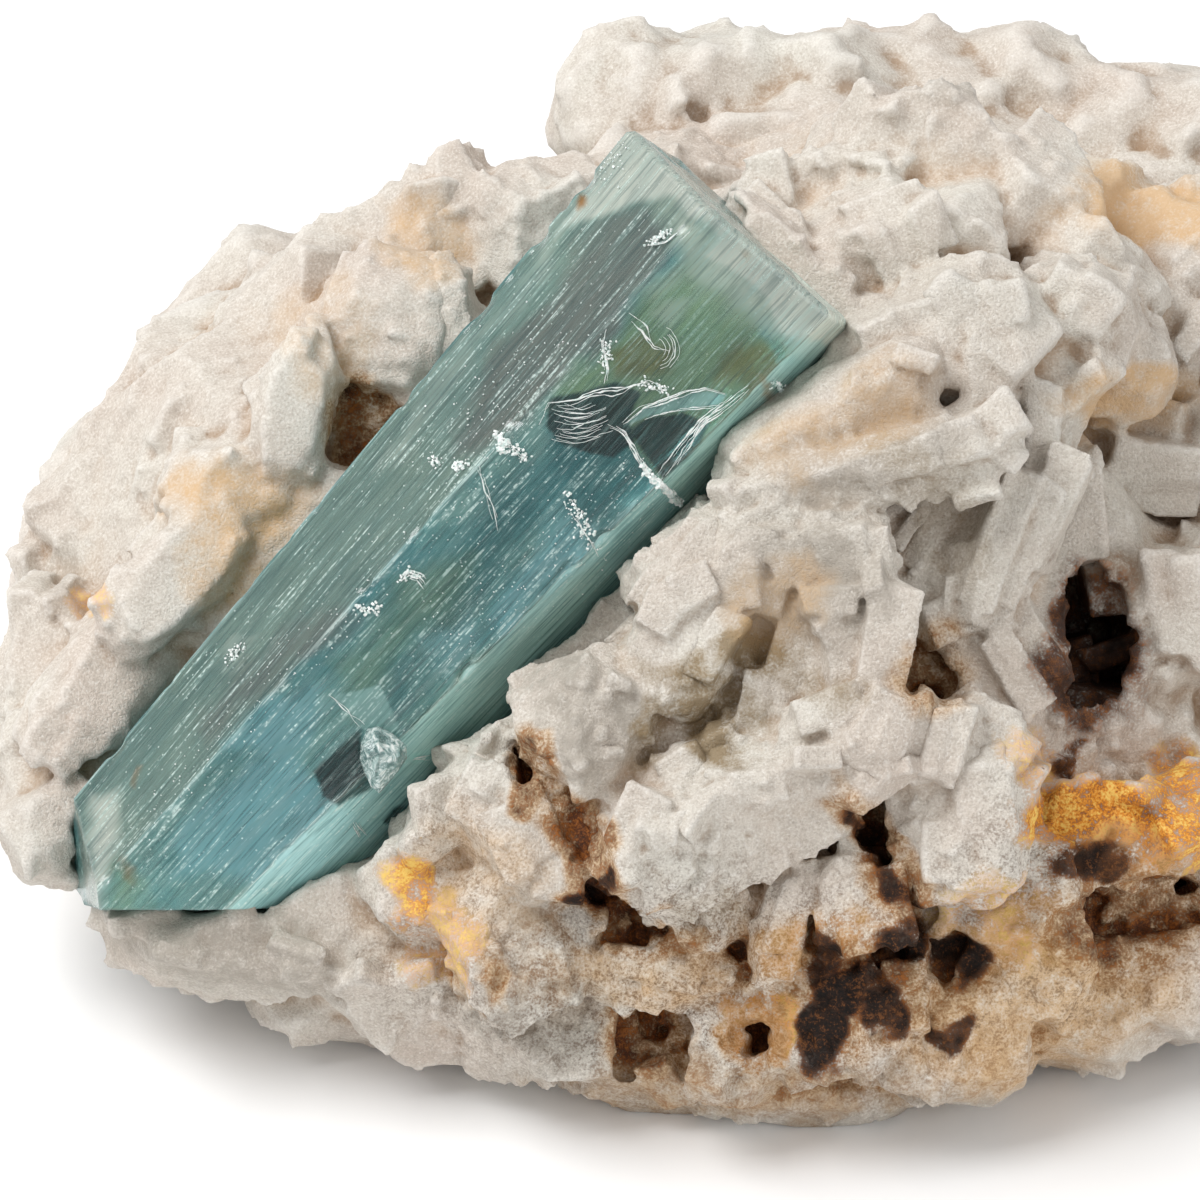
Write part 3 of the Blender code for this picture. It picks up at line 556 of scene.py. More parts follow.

# Stains of each layer: (right, up), (half width, half height), turn in degrees, strength. The umber layer is
# painted shade in recesses, and the grey layer painted shade on rims and in a recess, with a greyer tone
# elsewhere.
STAINS = {
    "iron": [
        ((-13.2, 10.2), (2.4, 3.2), 0, 1), ((-3.7, -9.1), (1.5, 2.6), 30, 1.2),
        ((-1.1, -12.9), (1.7, 3.2), 30, 1.2), ((-0.1, -16), (2.6, 1.7), -10, 1.3),
        ((1.8, -18.3), (1.4, 1.3), 0, 1), ((3.9, -18.4), (2.2, 1.4), 0, 1),
        ((15.4, -14.9), (2, 6.2), 25, 1.2), ((3, -24.6), (2.8, 2.8), 0, 1.2), ((8.1, -23.8), (2, 2), 0, 1),
        ((11.5, -20), (8, 4.5), 0, 0.75), ((29.4, -17.3), (6.8, 3.8), 8, 1.25),
        ((17.9, -4), (2.8, 2.6), 0, 0.8), ((19.3, -19.8), (4, 3), 0, 0.8),
        ((-6.3, -20.4), (1.3, 1.9), 0, 0.8), ((22.5, -25), (9, 2.2), 6, 0.5),
        ((13.5, -21), (6, 5.2), 0, 0.9), ((8, -27), (14, 2.2), 0, 0.62),
        ((-2.6, -19.6), (3.6, 3.2), 0, 0.45), ((14, -21), (4.6, 3.8), 0, 1.3),
        ((27.6, 0), (3.4, 2.6), 0, 0.5), ((28, -14.6), (5, 1.5), 0, 0.8),
    ],
    "black": [
        ((11.7, -24), (1.7, 1.9), 0, 1.2), ((13.2, -21.7), (2.5, 1.5), 10, 1.1),
        ((15.4, -23), (1.3, 1.5), 0, 1.1), ((11.9, -20), (1.6, 2.4), 0, 0.75),
        ((16.3, -18.8), (2.2, 1.6), 20, 1.1), ((19.9, -19.6), (1.8, 1.5), 0, 0.9),
        ((18.6, -23), (0.9, 1.2), 0, 0.8), ((14.2, -13), (1, 1.6), 25, 0.8),
        ((15.4, -15.2), (1, 2), 25, 0.8), ((25.4, -8.4), (1.3, 1.3), 0, 0.7),
        ((26, -14.4), (2.8, 0.8), 0, 0.75), ((-0.3, -15.9), (1.6, 1), -20, 0.8),
        ((27.2, -3), (3.6, 5), 0, 0.62), ((25.7, -1.6), (1.6, 4.4), 0, 0.6),
        ((27.6, -4.4), (3.2, 1.6), 0, 0.6),
    ],
    "ochre": [
        ((27.2, -12.4), (5.6, 2.6), -8, 1.2), ((32.5, -11), (4, 3.6), 0, 0.8),
        ((-10.6, -15.9), (1.8, 2.6), 15, 0.7), ((-8.8, -18.9), (2.8, 3), 0, 0.45),
        ((8.4, -23.4), (2, 2), 0, 0.9), ((22, -17.6), (5, 4.5), 0, 0.45), ((24.5, -9), (5, 2.5), -25, 0.5),
        ((-28.9, 0.3), (1.5, 1), 0, 0.42), ((12, -19), (5, 3), 0, 0.55),
    ],
    "cream": [
        ((23.5, -22.3), (9.5, 5), 4, 0.9), ((3, -20.6), (5.4, 1.8), -5, 0.7),
        ((-19.8, 5.5), (4.5, 3.2), 0, 0.8), ((-9.9, 20.6), (2.6, 3), 0, 0.6),
        ((-21.2, 1.9), (3, 3), 0, 0.6), ((-15.6, 15), (3, 4), 0, 0.4), ((30.5, 22.3), (5.5, 3), 0, 0.9),
        ((29.4, 11), (5, 2.2), 0, 0.8), ((-7, -15), (4.5, 4.5), 0, 0.5), ((13.2, 9.5), (7, 2.2), 31, 0.5),
        ((9.5, -0.5), (4, 3), 0, 0.5),
    ],
    # Painted shade along the bottom, top and side rims and in the dark recess on the right, with a greyer
    # tone on some crystals of the front.
    "grey_tone_and_shade": [
        ((9.9, -27.2), (17.5, 2.6), 0, 0.9), ((21, 28.6), (4, 2), 0, 0.7), ((27.2, -2.2), (4, 6), 0, 1.2),
        ((-20, -19.4), (9, 3.4), -6, 0.9), ((10.6, 0.6), (5.6, 4.2), 0, 1),
        ((-0.8, -6), (3.6, 3.8), 0, 0.9), ((14.3, 7.6), (7, 2.8), 25, 0.7), ((-3, -21), (5.6, 6), 0, 0.9),
        ((-30, 1.5), (1.6, 2.6), 0, 0.5),
    ],
    # Painted shade in the recesses and creases between the large crystals, in a soft brown.
    "umber_shade": [
        ((8.1, -3), (2.4, 1.7), 0, 1.1), ((5.2, -4.8), (4.6, 1.2), -25, 0.8),
        ((2.6, -6.4), (1.2, 3.4), -20, 0.7), ((5.4, -6.6), (3.6, 1.6), -30, 1.1),
        ((11.5, -4.6), (4.4, 1), -10, 0.5), ((19.5, 4), (2.4, 5), 0, 0.45),
        ((6, -16.8), (2.2, 1.6), 0, 0.5), ((16.4, 7.2), (5.6, 1.4), -30, 0.4),
    ],
    "dirt": [
        ((9, -21), (20, 7), 0, 1), ((26, -17), (9, 8), 0, 1), ((-8, -17), (5, 7), 0, 0.7),
    ],
}


class Hollows:
    """How deep in a hollow each place is. The rock is filled into cells of one size by counting how many of
    its walls lie under each cell, and the fill is blurred. On a plain the blurred fill is a half; in a hollow
    it is more, and on a ridge less."""

    CELL = 0.5
    MARGIN = 6.0
    LINE = 0.503  # where a column's line runs in its cell, a little off the middle, so that it meets no edge

    def __init__(self, triangles):
        walls = triangles / MM
        self.low = walls.min((0, 1)) - self.MARGIN
        self.shape = tuple(np.ceil((walls.max((0, 1)) + self.MARGIN - self.low) / self.CELL).astype(int))
        self.filled = self._fill((walls - self.low) / self.CELL)
        self.near = self._blurred(1.6)
        self.wide = self._blurred(4.5)
        self.slopes = np.gradient(self.near + 0.3 * self.wide)

    def _fill(self, walls):
        """1 in each cell of the rock and 0 outside, from the walls that each column's line passes through."""
        low = np.ceil(walls[:, :, :2].min(1) - self.LINE).astype(int)
        high = np.floor(walls[:, :, :2].max(1) - self.LINE).astype(int)
        span = np.maximum(high - low + 1, 0)
        count = span[:, 0] * span[:, 1]
        which = np.repeat(np.arange(len(walls)), count)
        order = np.arange(len(which)) - np.repeat(np.cumsum(count) - count, count)
        column = low[which] + np.stack((order // span[which, 1], order % span[which, 1]), axis=1)
        at = column + self.LINE
        a, b, c = (walls[which, k] for k in range(3))
        area = self._cross(b - a, c - a)
        area = np.where(np.abs(area) < 1e-9, 1e-9, area)
        v = self._cross(at - a[:, :2], c - a) / area
        w = self._cross(b - a, at - a[:, :2]) / area
        inside = (v >= 0) & (w >= 0) & (v + w <= 1)
        height = a[:, 2] + v * (b - a)[:, 2] + w * (c - a)[:, 2]
        level = np.clip(np.ceil(height - 0.5).astype(int), 0, self.shape[2] - 1)
        toggles = np.zeros(self.shape, np.int32)
        np.add.at(toggles, (column[inside, 0], column[inside, 1], level[inside]), 1)
        return (np.cumsum(toggles, axis=2) & 1).astype(np.float32)

    @staticmethod
    def _cross(first, second):
        return first[:, 0] * second[:, 1] - first[:, 1] * second[:, 0]

    def _blurred(self, reach):
        """The fill averaged three times over boxes that reach so many millimetres each way."""
        field = self.filled
        steps = max(1, round(reach / self.CELL / 1.7))
        for _ in range(3):
            for axis in range(3):
                pad = [(0, 0)] * 3
                pad[axis] = (steps + 1, steps)
                total = np.cumsum(np.pad(field, pad, mode="edge"), axis=axis, dtype=np.float64)
                size = field.shape[axis]
                late = np.take(total, np.arange(2 * steps + 1, 2 * steps + 1 + size), axis=axis)
                early = np.take(total, np.arange(0, size), axis=axis)
                field = ((late - early) / (2 * steps + 1)).astype(np.float32)
        return field

    def inward(self, points):
        """The way into the rock at each point: where the blurred fills grow fastest."""
        ways = np.stack([self.read(slope, points) for slope in self.slopes], axis=1)
        return ways / np.maximum(np.linalg.norm(ways, axis=1, keepdims=True), 1e-6)

    def read(self, field, points):
        """The field at each point, as the three-way mean of the cells round it."""
        scaled = (points / MM - self.low) / self.CELL - 0.5
        cell = np.floor(scaled).astype(int)
        total = np.zeros(len(points))
        for at, share in cells_round(cell, scaled - cell):
            total += share * field[tuple(np.clip(at, 0, np.array(self.shape) - 1).T)]
        return total


class Gem:
    """The prism's flats as (normal, offset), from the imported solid, to keep the albite out of it."""

    SMALLEST = 0.3  # twice the area of the smallest triangle that counts as a flat, in square millimetres

    def __init__(self):
        corners = triangles_of(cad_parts["aquamarine_crystal"].data) / MM
        normal = np.cross(corners[:, 1] - corners[:, 0], corners[:, 2] - corners[:, 0])
        size = np.linalg.norm(normal, axis=1)
        good = size > self.SMALLEST
        self.normal = normal[good] / size[good, None]
        self.offset = (self.normal * corners[good, 0]).sum(1)

    def depth(self, points):
        """How far each point is outside the prism, negative inside, and the normal of its nearest flat."""
        nearest = np.full(len(points), -np.inf)
        way = np.zeros_like(points)
        for normal, offset in zip(self.normal, self.offset):
            far = points @ normal / MM - offset
            better = far > nearest
            nearest[better] = far[better]
            way[better] = normal
        return nearest, way


def calmness(places):
    """1 on the rounded slopes to the left of the prism and along the crest, 0 on the show face."""
    beside = places[:, :2] @ LEFTWARDS - AXIS_LEFT
    return np.maximum(eased(beside, 8.0, 13.0), eased(places[:, 1], 17.0, 22.0))


def scattered_crystals(triangles, gem, dice):
    """Crystals all over the rock, as middles, turns and half sizes. Places are drawn from the triangles by
    their area. A crystal lies flat on the surface with a random spin and leans from it by a small random
    turn."""
    edge_a, edge_b = triangles[:, 1] - triangles[:, 0], triangles[:, 2] - triangles[:, 0]
    normal = np.cross(edge_a, edge_b)
    area = np.linalg.norm(normal, axis=1)
    normal /= np.maximum(area, 1e-15)[:, None]
    share = area / area.sum()
    square_cm = area.sum() / 2 * 1e4
    found = []
    for per_cm, (small, large), flatness, lean, proud in GROWTHS:
        count = int(per_cm * square_cm)
        which = dice.choice(len(area), count, p=share)
        a, b = dice.random(count), dice.random(count)
        swap = a + b > 1
        a[swap], b[swap] = 1 - a[swap], 1 - b[swap]
        place = (triangles[which, 0] + a[:, None] * edge_a[which] + b[:, None] * edge_b[which]) / MM
        size = dice.uniform(small, large, (count, 1))
        sides = [dice.uniform(low, high, count) for low, high in ((0.8, 1.3), (0.7, 1.0), (0.7, 1.2))]
        half = size * np.stack(sides, axis=1) * (1, 1, flatness)
        calm = 1 - CALM * calmness(to_face(place * MM))[:, None]
        height = half[:, 2:] * dice.uniform(proud - 0.4, proud, (count, 1)) * calm
        place = place - normal[which] * (half[:, 2:] - height - 0.05)
        sideways = np.cross(normal[which], dice.normal(size=(count, 3)))
        sideways /= np.linalg.norm(sideways, axis=1, keepdims=True)
        upright = np.stack((sideways, np.cross(normal[which], sideways), normal[which]), axis=2)
        turns = np.einsum("nij,njk->nik", random_turns(count, dice, lean), upright)
        outside, _ = gem.depth(place * MM)
        kept = (outside > half.max(1) * 0.3) & (place[:, 2] > 0.3 + half.max(1))
        found.append((place[kept], turns[kept], half[kept]))
    return [np.concatenate(parts) for parts in zip(*found)]


def placed_blocks(rock, dice):
    """The corners of the table's blocks and crumbs, set on the front of the rock: a line is run from the
    viewer's side straight into the rock to find it."""
    skin = BVHTree.FromPolygons([v.co for v in rock.vertices], [tuple(p.vertices) for p in rock.polygons])
    way = -Vector(OUT)

    def front(right, up):
        hit = skin.ray_cast(Vector(to_metres((right, up, BEFORE_ROCK))), way)[0]
        return None if hit is None else to_face(np.array(hit))[2]

    corners = []
    for (right, up), proud, size, angles, strands in BLOCKS:
        middle = np.array((right, up, front(right, up) + proud - size[2] / 2))
        corners.append(block_corners(middle, size, angles, strands, dice))
    for middle, radius, count, (small, large) in CRUMBS:
        spots = middle + dice.normal(size=(count, 2)) * radius * 0.5
        outs = [front(*spot) for spot in spots]
        found = np.array([(*spot, out + 0.15) for spot, out in zip(spots, outs) if out is not None])
        halves = dice.uniform(small, large, (len(found), 1)) * dice.uniform(0.6, 1.2, (len(found), 3))
        corners.append(box_corners(found, random_turns(len(found), dice), halves, dice))
    return np.concatenate(corners)


def cut_stretch(rock, spans):
    """The part of the rock inside a box on the show face, by an exact Boolean."""
    low, high = np.transpose(spans) + np.array([[-OVERLAP], [OVERLAP]])
    box = mesh_from("cutter", to_metres(np.where(BOX_SIGNS > 0, high, low)), BOX_FACES)
    cutter = linked("cutter", box)
    cut = modified(rock, "BOOLEAN", operation="INTERSECT", solver="EXACT", object=cutter)
    bpy.data.objects.remove(cutter)
    return cut


def within(places, spans):
    """Which places lie in a stretch of the rock."""
    low, high = np.transpose(spans)
    return np.all((places >= low) & (places < high), axis=1)


def grown_together(mesh, parts, grain):
    """The mesh and its crystals, given as points and faces, joined into one skin by remeshing them all on
    cubes of the given grain."""
    corners = triangles_of(mesh).reshape(-1, 3)
    parts = [(corners, np.arange(len(corners)).reshape(-1, 3)), *parts]
    starts = np.cumsum([0] + [len(points) for points, _ in parts[:-1]])
    points = np.concatenate([points for points, _ in parts])
    faces = np.concatenate([faces + start for (_, faces), start in zip(parts, starts)])
    joined = mesh_from("joined", points, faces)
    return modified(joined, "REMESH", mode="VOXEL", voxel_size=grain * MM, use_smooth_shade=True)


def stain_layers(places):
    """The strength of each stain at each place on the show face: full in the middle of an oval and 0 past its
    rim, where the rim is pushed about by noise. Stains stay on the show side. The umber layer is painted
    shade, and the grey layer partly painted shade."""
    wander = np.stack([fractal(places, 3.4, 4, 20 + k) for k in range(2)], axis=1) * 1.15
    show = eased(places[:, 2], -17, -12)
    layers = {name: np.zeros(len(places)) for name in STAINS}
    for name, ovals in STAINS.items():
        for middle, half, turn, strength in ovals:
            c, s = math.cos(math.radians(turn)), math.sin(math.radians(turn))
            offset = (places[:, :2] + wander - middle) @ np.array(((c, -s), (s, c)))
            far = np.linalg.norm(offset / half, axis=1)
            layers[name] = np.maximum(layers[name], strength * (1 - eased(far, 0.45, 1.25)) * show)
    return layers


def creases(skin, points, normals, rounds=14):
    """How deep each vertex lies in a crease, in millimetres: how far it moves outwards when the skin is
    smoothed by giving each vertex the mean of its neighbours, over and over."""
    first, second = read_rows(skin.edges, "vertices", 2, np.int32).T
    count = len(points)
    beside = np.bincount(first, minlength=count) + np.bincount(second, minlength=count)
    smooth = points / MM
    for _ in range(rounds):
        total = [np.bincount(first, smooth[second, k], count) + np.bincount(second, smooth[first, k], count)
                 for k in range(3)]
        smooth = (np.stack(total, axis=1) / np.maximum(beside, 1)[:, None] + smooth) / 2
    return ((smooth - points / MM) * normals).sum(1)


def dress_stretch(skin, spans, gem, hollows, waves):
    """Rough surface, tucked-under rims and colour layers of one stretch of the rock."""
    points = points_of(skin)
    normals = read_rows(skin.vertex_normals, "vector", 3).astype(float)
    places = to_face(points)
    calm = calmness(places)
    rough = (fractal(places, 2.2, 3, 30) + fractal(places, 0.7, 2, 40) * 0.45) * waves * (1 - 0.6 * calm)
    above_base = eased(points[:, 2] / MM, 0.2, 1.4)
    sink = np.zeros(len(points))
    for axis, (low, high) in enumerate(spans):
        past = np.maximum(low - places[:, axis], places[:, axis] - high)
        sink = np.maximum(sink, eased(past, 0.1, 0.9 * OVERLAP) * SINK)
    points += (normals * (rough * above_base)[:, None] + hollows.inward(points) * sink[:, None]) * MM
    outside, way = gem.depth(points)
    points += way * (np.maximum(CLEARANCE - outside, 0) * (outside > -1.5) * MM)[:, None]
    points[:, 2] = np.maximum(points[:, 2], 0.0)
    skin.vertices.foreach_set("co", points.astype(np.float32).ravel())
    skin.update()
    raised = points + normals * 0.25 * MM
    near, wide = (hollows.read(field, raised) for field in (hollows.near, hollows.wide))
    sheltered = 0.5 + 2.6 * np.clip(near - 0.42, 0, 0.35)
    layers = stain_layers(places)
    layers["iron"] *= sheltered
    # The hollow and deep layers paint the hollows browner and darker: partly brown stain, partly painted
    # shade.
    layers["hollow"] = np.clip((near - 0.38) * 3.2, 0, 1)
    layers["deep"] = np.clip((wide - 0.42) * 2.6, 0, 1)
    layers["calm"] = calm
    # The crease layer is positive in creases and negative on ridges; the material paints the creases darker
    # as painted shade, with some dirt, and the ridges lighter as a painted highlight.
    layers["crease"] = np.clip(creases(skin, points, normals) * 5.0, -1, 1)
    for name, values in layers.items():
        give_layer(skin, name, values)


def albite_material(look):
    """Albite: a white feldspar of tiny, sugary grains, stained by iron and manganese in its hollows. The
    grain gives the eye a soft, matt white that is never quite even. Its hollows and creases are also painted
    browner and darker as shade, and its ridges lighter as a painted highlight."""
    material, tree, shader = new_material("albite")
    where = add_node(tree, "ShaderNodeTexCoord").outputs["Object"]
    layer = {name: add_node(tree, "ShaderNodeAttribute", attribute_name=name).outputs["Fac"]
             for name in (*STAINS, "hollow", "deep", "crease", "calm")}
    # Patches of 9 mm between white and a faint rose, blots of 2.4 mm that break up the stains' rims, grains
    # of 0.8 mm and the sugary crystals.
    patches, blots, grains, sugar = (
        add_node(tree, "ShaderNodeTexNoise", {
            "Vector": where, "Scale": 1 / size, "Detail": detail, "Roughness": roughness})
        for size, detail, roughness in (
            (9 * MM, 3.0, 0.5), (2.4 * MM, 4.0, 0.7), (0.8 * MM, 3.0, 0.75), (look.sugar, 2.0, 0.7)))
    grit = weighted(tree, -0.05, (grains, 0.6), (sugar, 0.5))
    pooled = weighted(tree, -0.4, (grit, 1.0), (blots, 0.8))
    base, ochre, halo, rust, manganese = (
        add_node(tree, "ShaderNodeValToRGB", {0: pattern}, stops) for pattern, *stops in (
            (patches, (0.3, look.white), (0.7, look.rose)),
            (pooled, (0.36, "#7C4208"), (0.5, look.ochre), (0.64, "#EFC766")),
            (grit, (0.4, "#CBAA80"), (0.6, "#9C7347")),
            (grit, (0.36, "#24120A"), (0.5, look.rust), (0.63, "#9C5F2B")),
            (grit, (0.42, "#070504"), (0.54, look.manganese), (0.66, "#6B4223"))))
    uneven = weighted(tree, -1.1, (blots, 2.6), (grains, 0.9), (sugar, 0.7))
    ragged = {name: picked(tree, layer[name], 0, 1, uneven)
              for name in ("hollow", "deep", "crease", "grey_tone_and_shade", "umber_shade", "cream", "ochre", "iron", "black")}
    colour = coated(tree, base, (
        (grains, "#A3968A", 0.44, 0.74, 0.36),
        (sugar, "#8E8276", 0.50, 0.78, 0.45),
        (sugar, "#F1EEE8", 0.48, 0.26, 0.5),
        # Hollows, by how deep they lie: brown stain and painted shade in one.
        (ragged["hollow"], "#C6AC91", 0.12, 0.9, 0.75),
        (ragged["deep"], "#7A5F49", 0.35, 1.2, 0.8),
        # Painted shade in the creases between crystals, with some dirt in them.
        (ragged["crease"], "#8F745A", 0.2, 1.2, 0.65),
        # Painted highlight on ridges and rims, where the crease layer is negative.
        (layer["crease"], "#EDEAE4", -0.3, -1.0, 0.3),
        # Grey: painted shade on the rims and in a recess, and a greyer tone elsewhere.
        (ragged["grey_tone_and_shade"], "#A39B90", 0.2, 1.0, 0.8),
        # Painted shade in recesses, in a soft brown.
        (ragged["umber_shade"], look.umber_shade, 0.15, 1.0, 0.85),
        (ragged["cream"], look.cream, 0.1, 1.0, 0.8),
        (picked(tree, grit, 0.50, 0.62, layer["dirt"]), "#5E452F", 0, 1, 0.65),
        (picked(tree, grit, 0.46, 0.34, layer["dirt"]), "#F2E9DA", 0, 1, 0.35),
        (ragged["ochre"], ochre, 0.25, 0.8, 0.95),
        (ragged["iron"], halo, 0.10, 0.5, 0.85),
        (ragged["iron"], rust, 0.40, 0.85, 0.97),
        (ragged["black"], rust, 0.12, 0.5, 0.9),
        (ragged["black"], manganese, 0.32, 0.9, 0.97),
    ))
    height = weighted(tree, sugar, (grains, 0.7))
    strength = weighted(tree, 0.75, (layer["calm"], -0.45))
    bump = add_node(tree, "ShaderNodeBump", {"Height": height, "Strength": strength, "Distance": 0.16 * MM})
    connect(tree, shader, {
        "Base Color": colour, "Normal": bump, "Roughness": 0.62, "IOR": 1.53, "Specular IOR Level": 0.2})
    return material


class SPECIMEN_OT_albite(bpy.types.Operator):
    """Grow the white albite rock, stretch by stretch"""

    bl_idname = "specimen.albite"
    bl_label = "Albite rock"

    def execute(self, context):
        look = context.scene.specimen_rock
        dice = np.random.default_rng(SEED + 1)
        rock = mended(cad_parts["albite_matrix"].data.copy(), outwards=False)
        triangles = triangles_of(rock)
        gem = Gem()
        hollows = Hollows(triangles)
        middles, turns, halves = scattered_crystals(triangles, gem, dice)
        scattered = box_corners(middles, turns, halves, dice) * MM
        placed = placed_blocks(rock, dice)
        corners = np.concatenate((scattered, to_metres(placed)))
        places = np.concatenate((to_face(middles * MM), placed.mean(axis=1)))
        books = [plate_book(*book, dice) for book in BOOKS]
        book_places = np.array([middle for middle, *_ in BOOKS])
        material = albite_material(look)
        for name, (*spans, grain) in STRETCHES.items():
            points, quads = box_mesh(corners[within(places, spans)])
            own_books = [book for book, own in zip(books, within(book_places, spans)) if own]
            skin = grown_together(cut_stretch(rock, spans), [(points, halved(quads)), *own_books], grain)
            dress_stretch(skin, spans, gem, hollows, look.waves / MM)
            skin.name = name
            place_piece(skin, material, "albite", "albite_matrix")
        return {"FINISHED"}


# --- aquamarine -----------------------------------------------------------------------------------------

PRISM_TOP = np.array((8.2, 20.1, 3.0))  # the upper end of the axis
PRISM_ROOT = np.array((-26.0, -18.0, -2.0))  # and its lower end
PRISM_RADIUS = 8.9  # from the axis to a corner of the top
PRISM_TURN = 15.0  # how many degrees the top's corners are turned round the axis
# The root's corners as (rightwards, outwards) from the axis, and the breaks across it as (place, way faced).
ROOT_CORNERS = np.array([(-2.6, 5.9), (3.1, 4.6), (8.6, -2.6), (3.6, -6.6), (-3.4, -5.2), (-6.8, 1.2)])
ROOT_BREAKS = [((0, -16.9, 0), (0, -1, 0)), ((-28.5, -13.5, 0), (-1, -0.15, 0.2))]
PRISM_LENGTH = np.linalg.norm(PRISM_TOP - PRISM_ROOT)
ALONG = (PRISM_TOP - PRISM_ROOT) / PRISM_LENGTH
TOWARDS = np.array((0, 0, 1.0)) - ALONG * ALONG[2]
TOWARDS = TOWARDS / np.linalg.norm(TOWARDS)
ACROSS = np.cross(ALONG, TOWARDS)
SHOWN_STEPS = 88  # points on each of the three sides in view
HIDDEN_STEPS = 26  # and on each of the other three
LENGTH_STEPS = 236
CAP_STEPS = 18
RIM = 0.35  # width of the slope round the flat top
LEFT_SIDE, FRONT_SIDE, RIGHT_SIDE = 5, 0, 1  # the sides in view, as whole turns round the prism

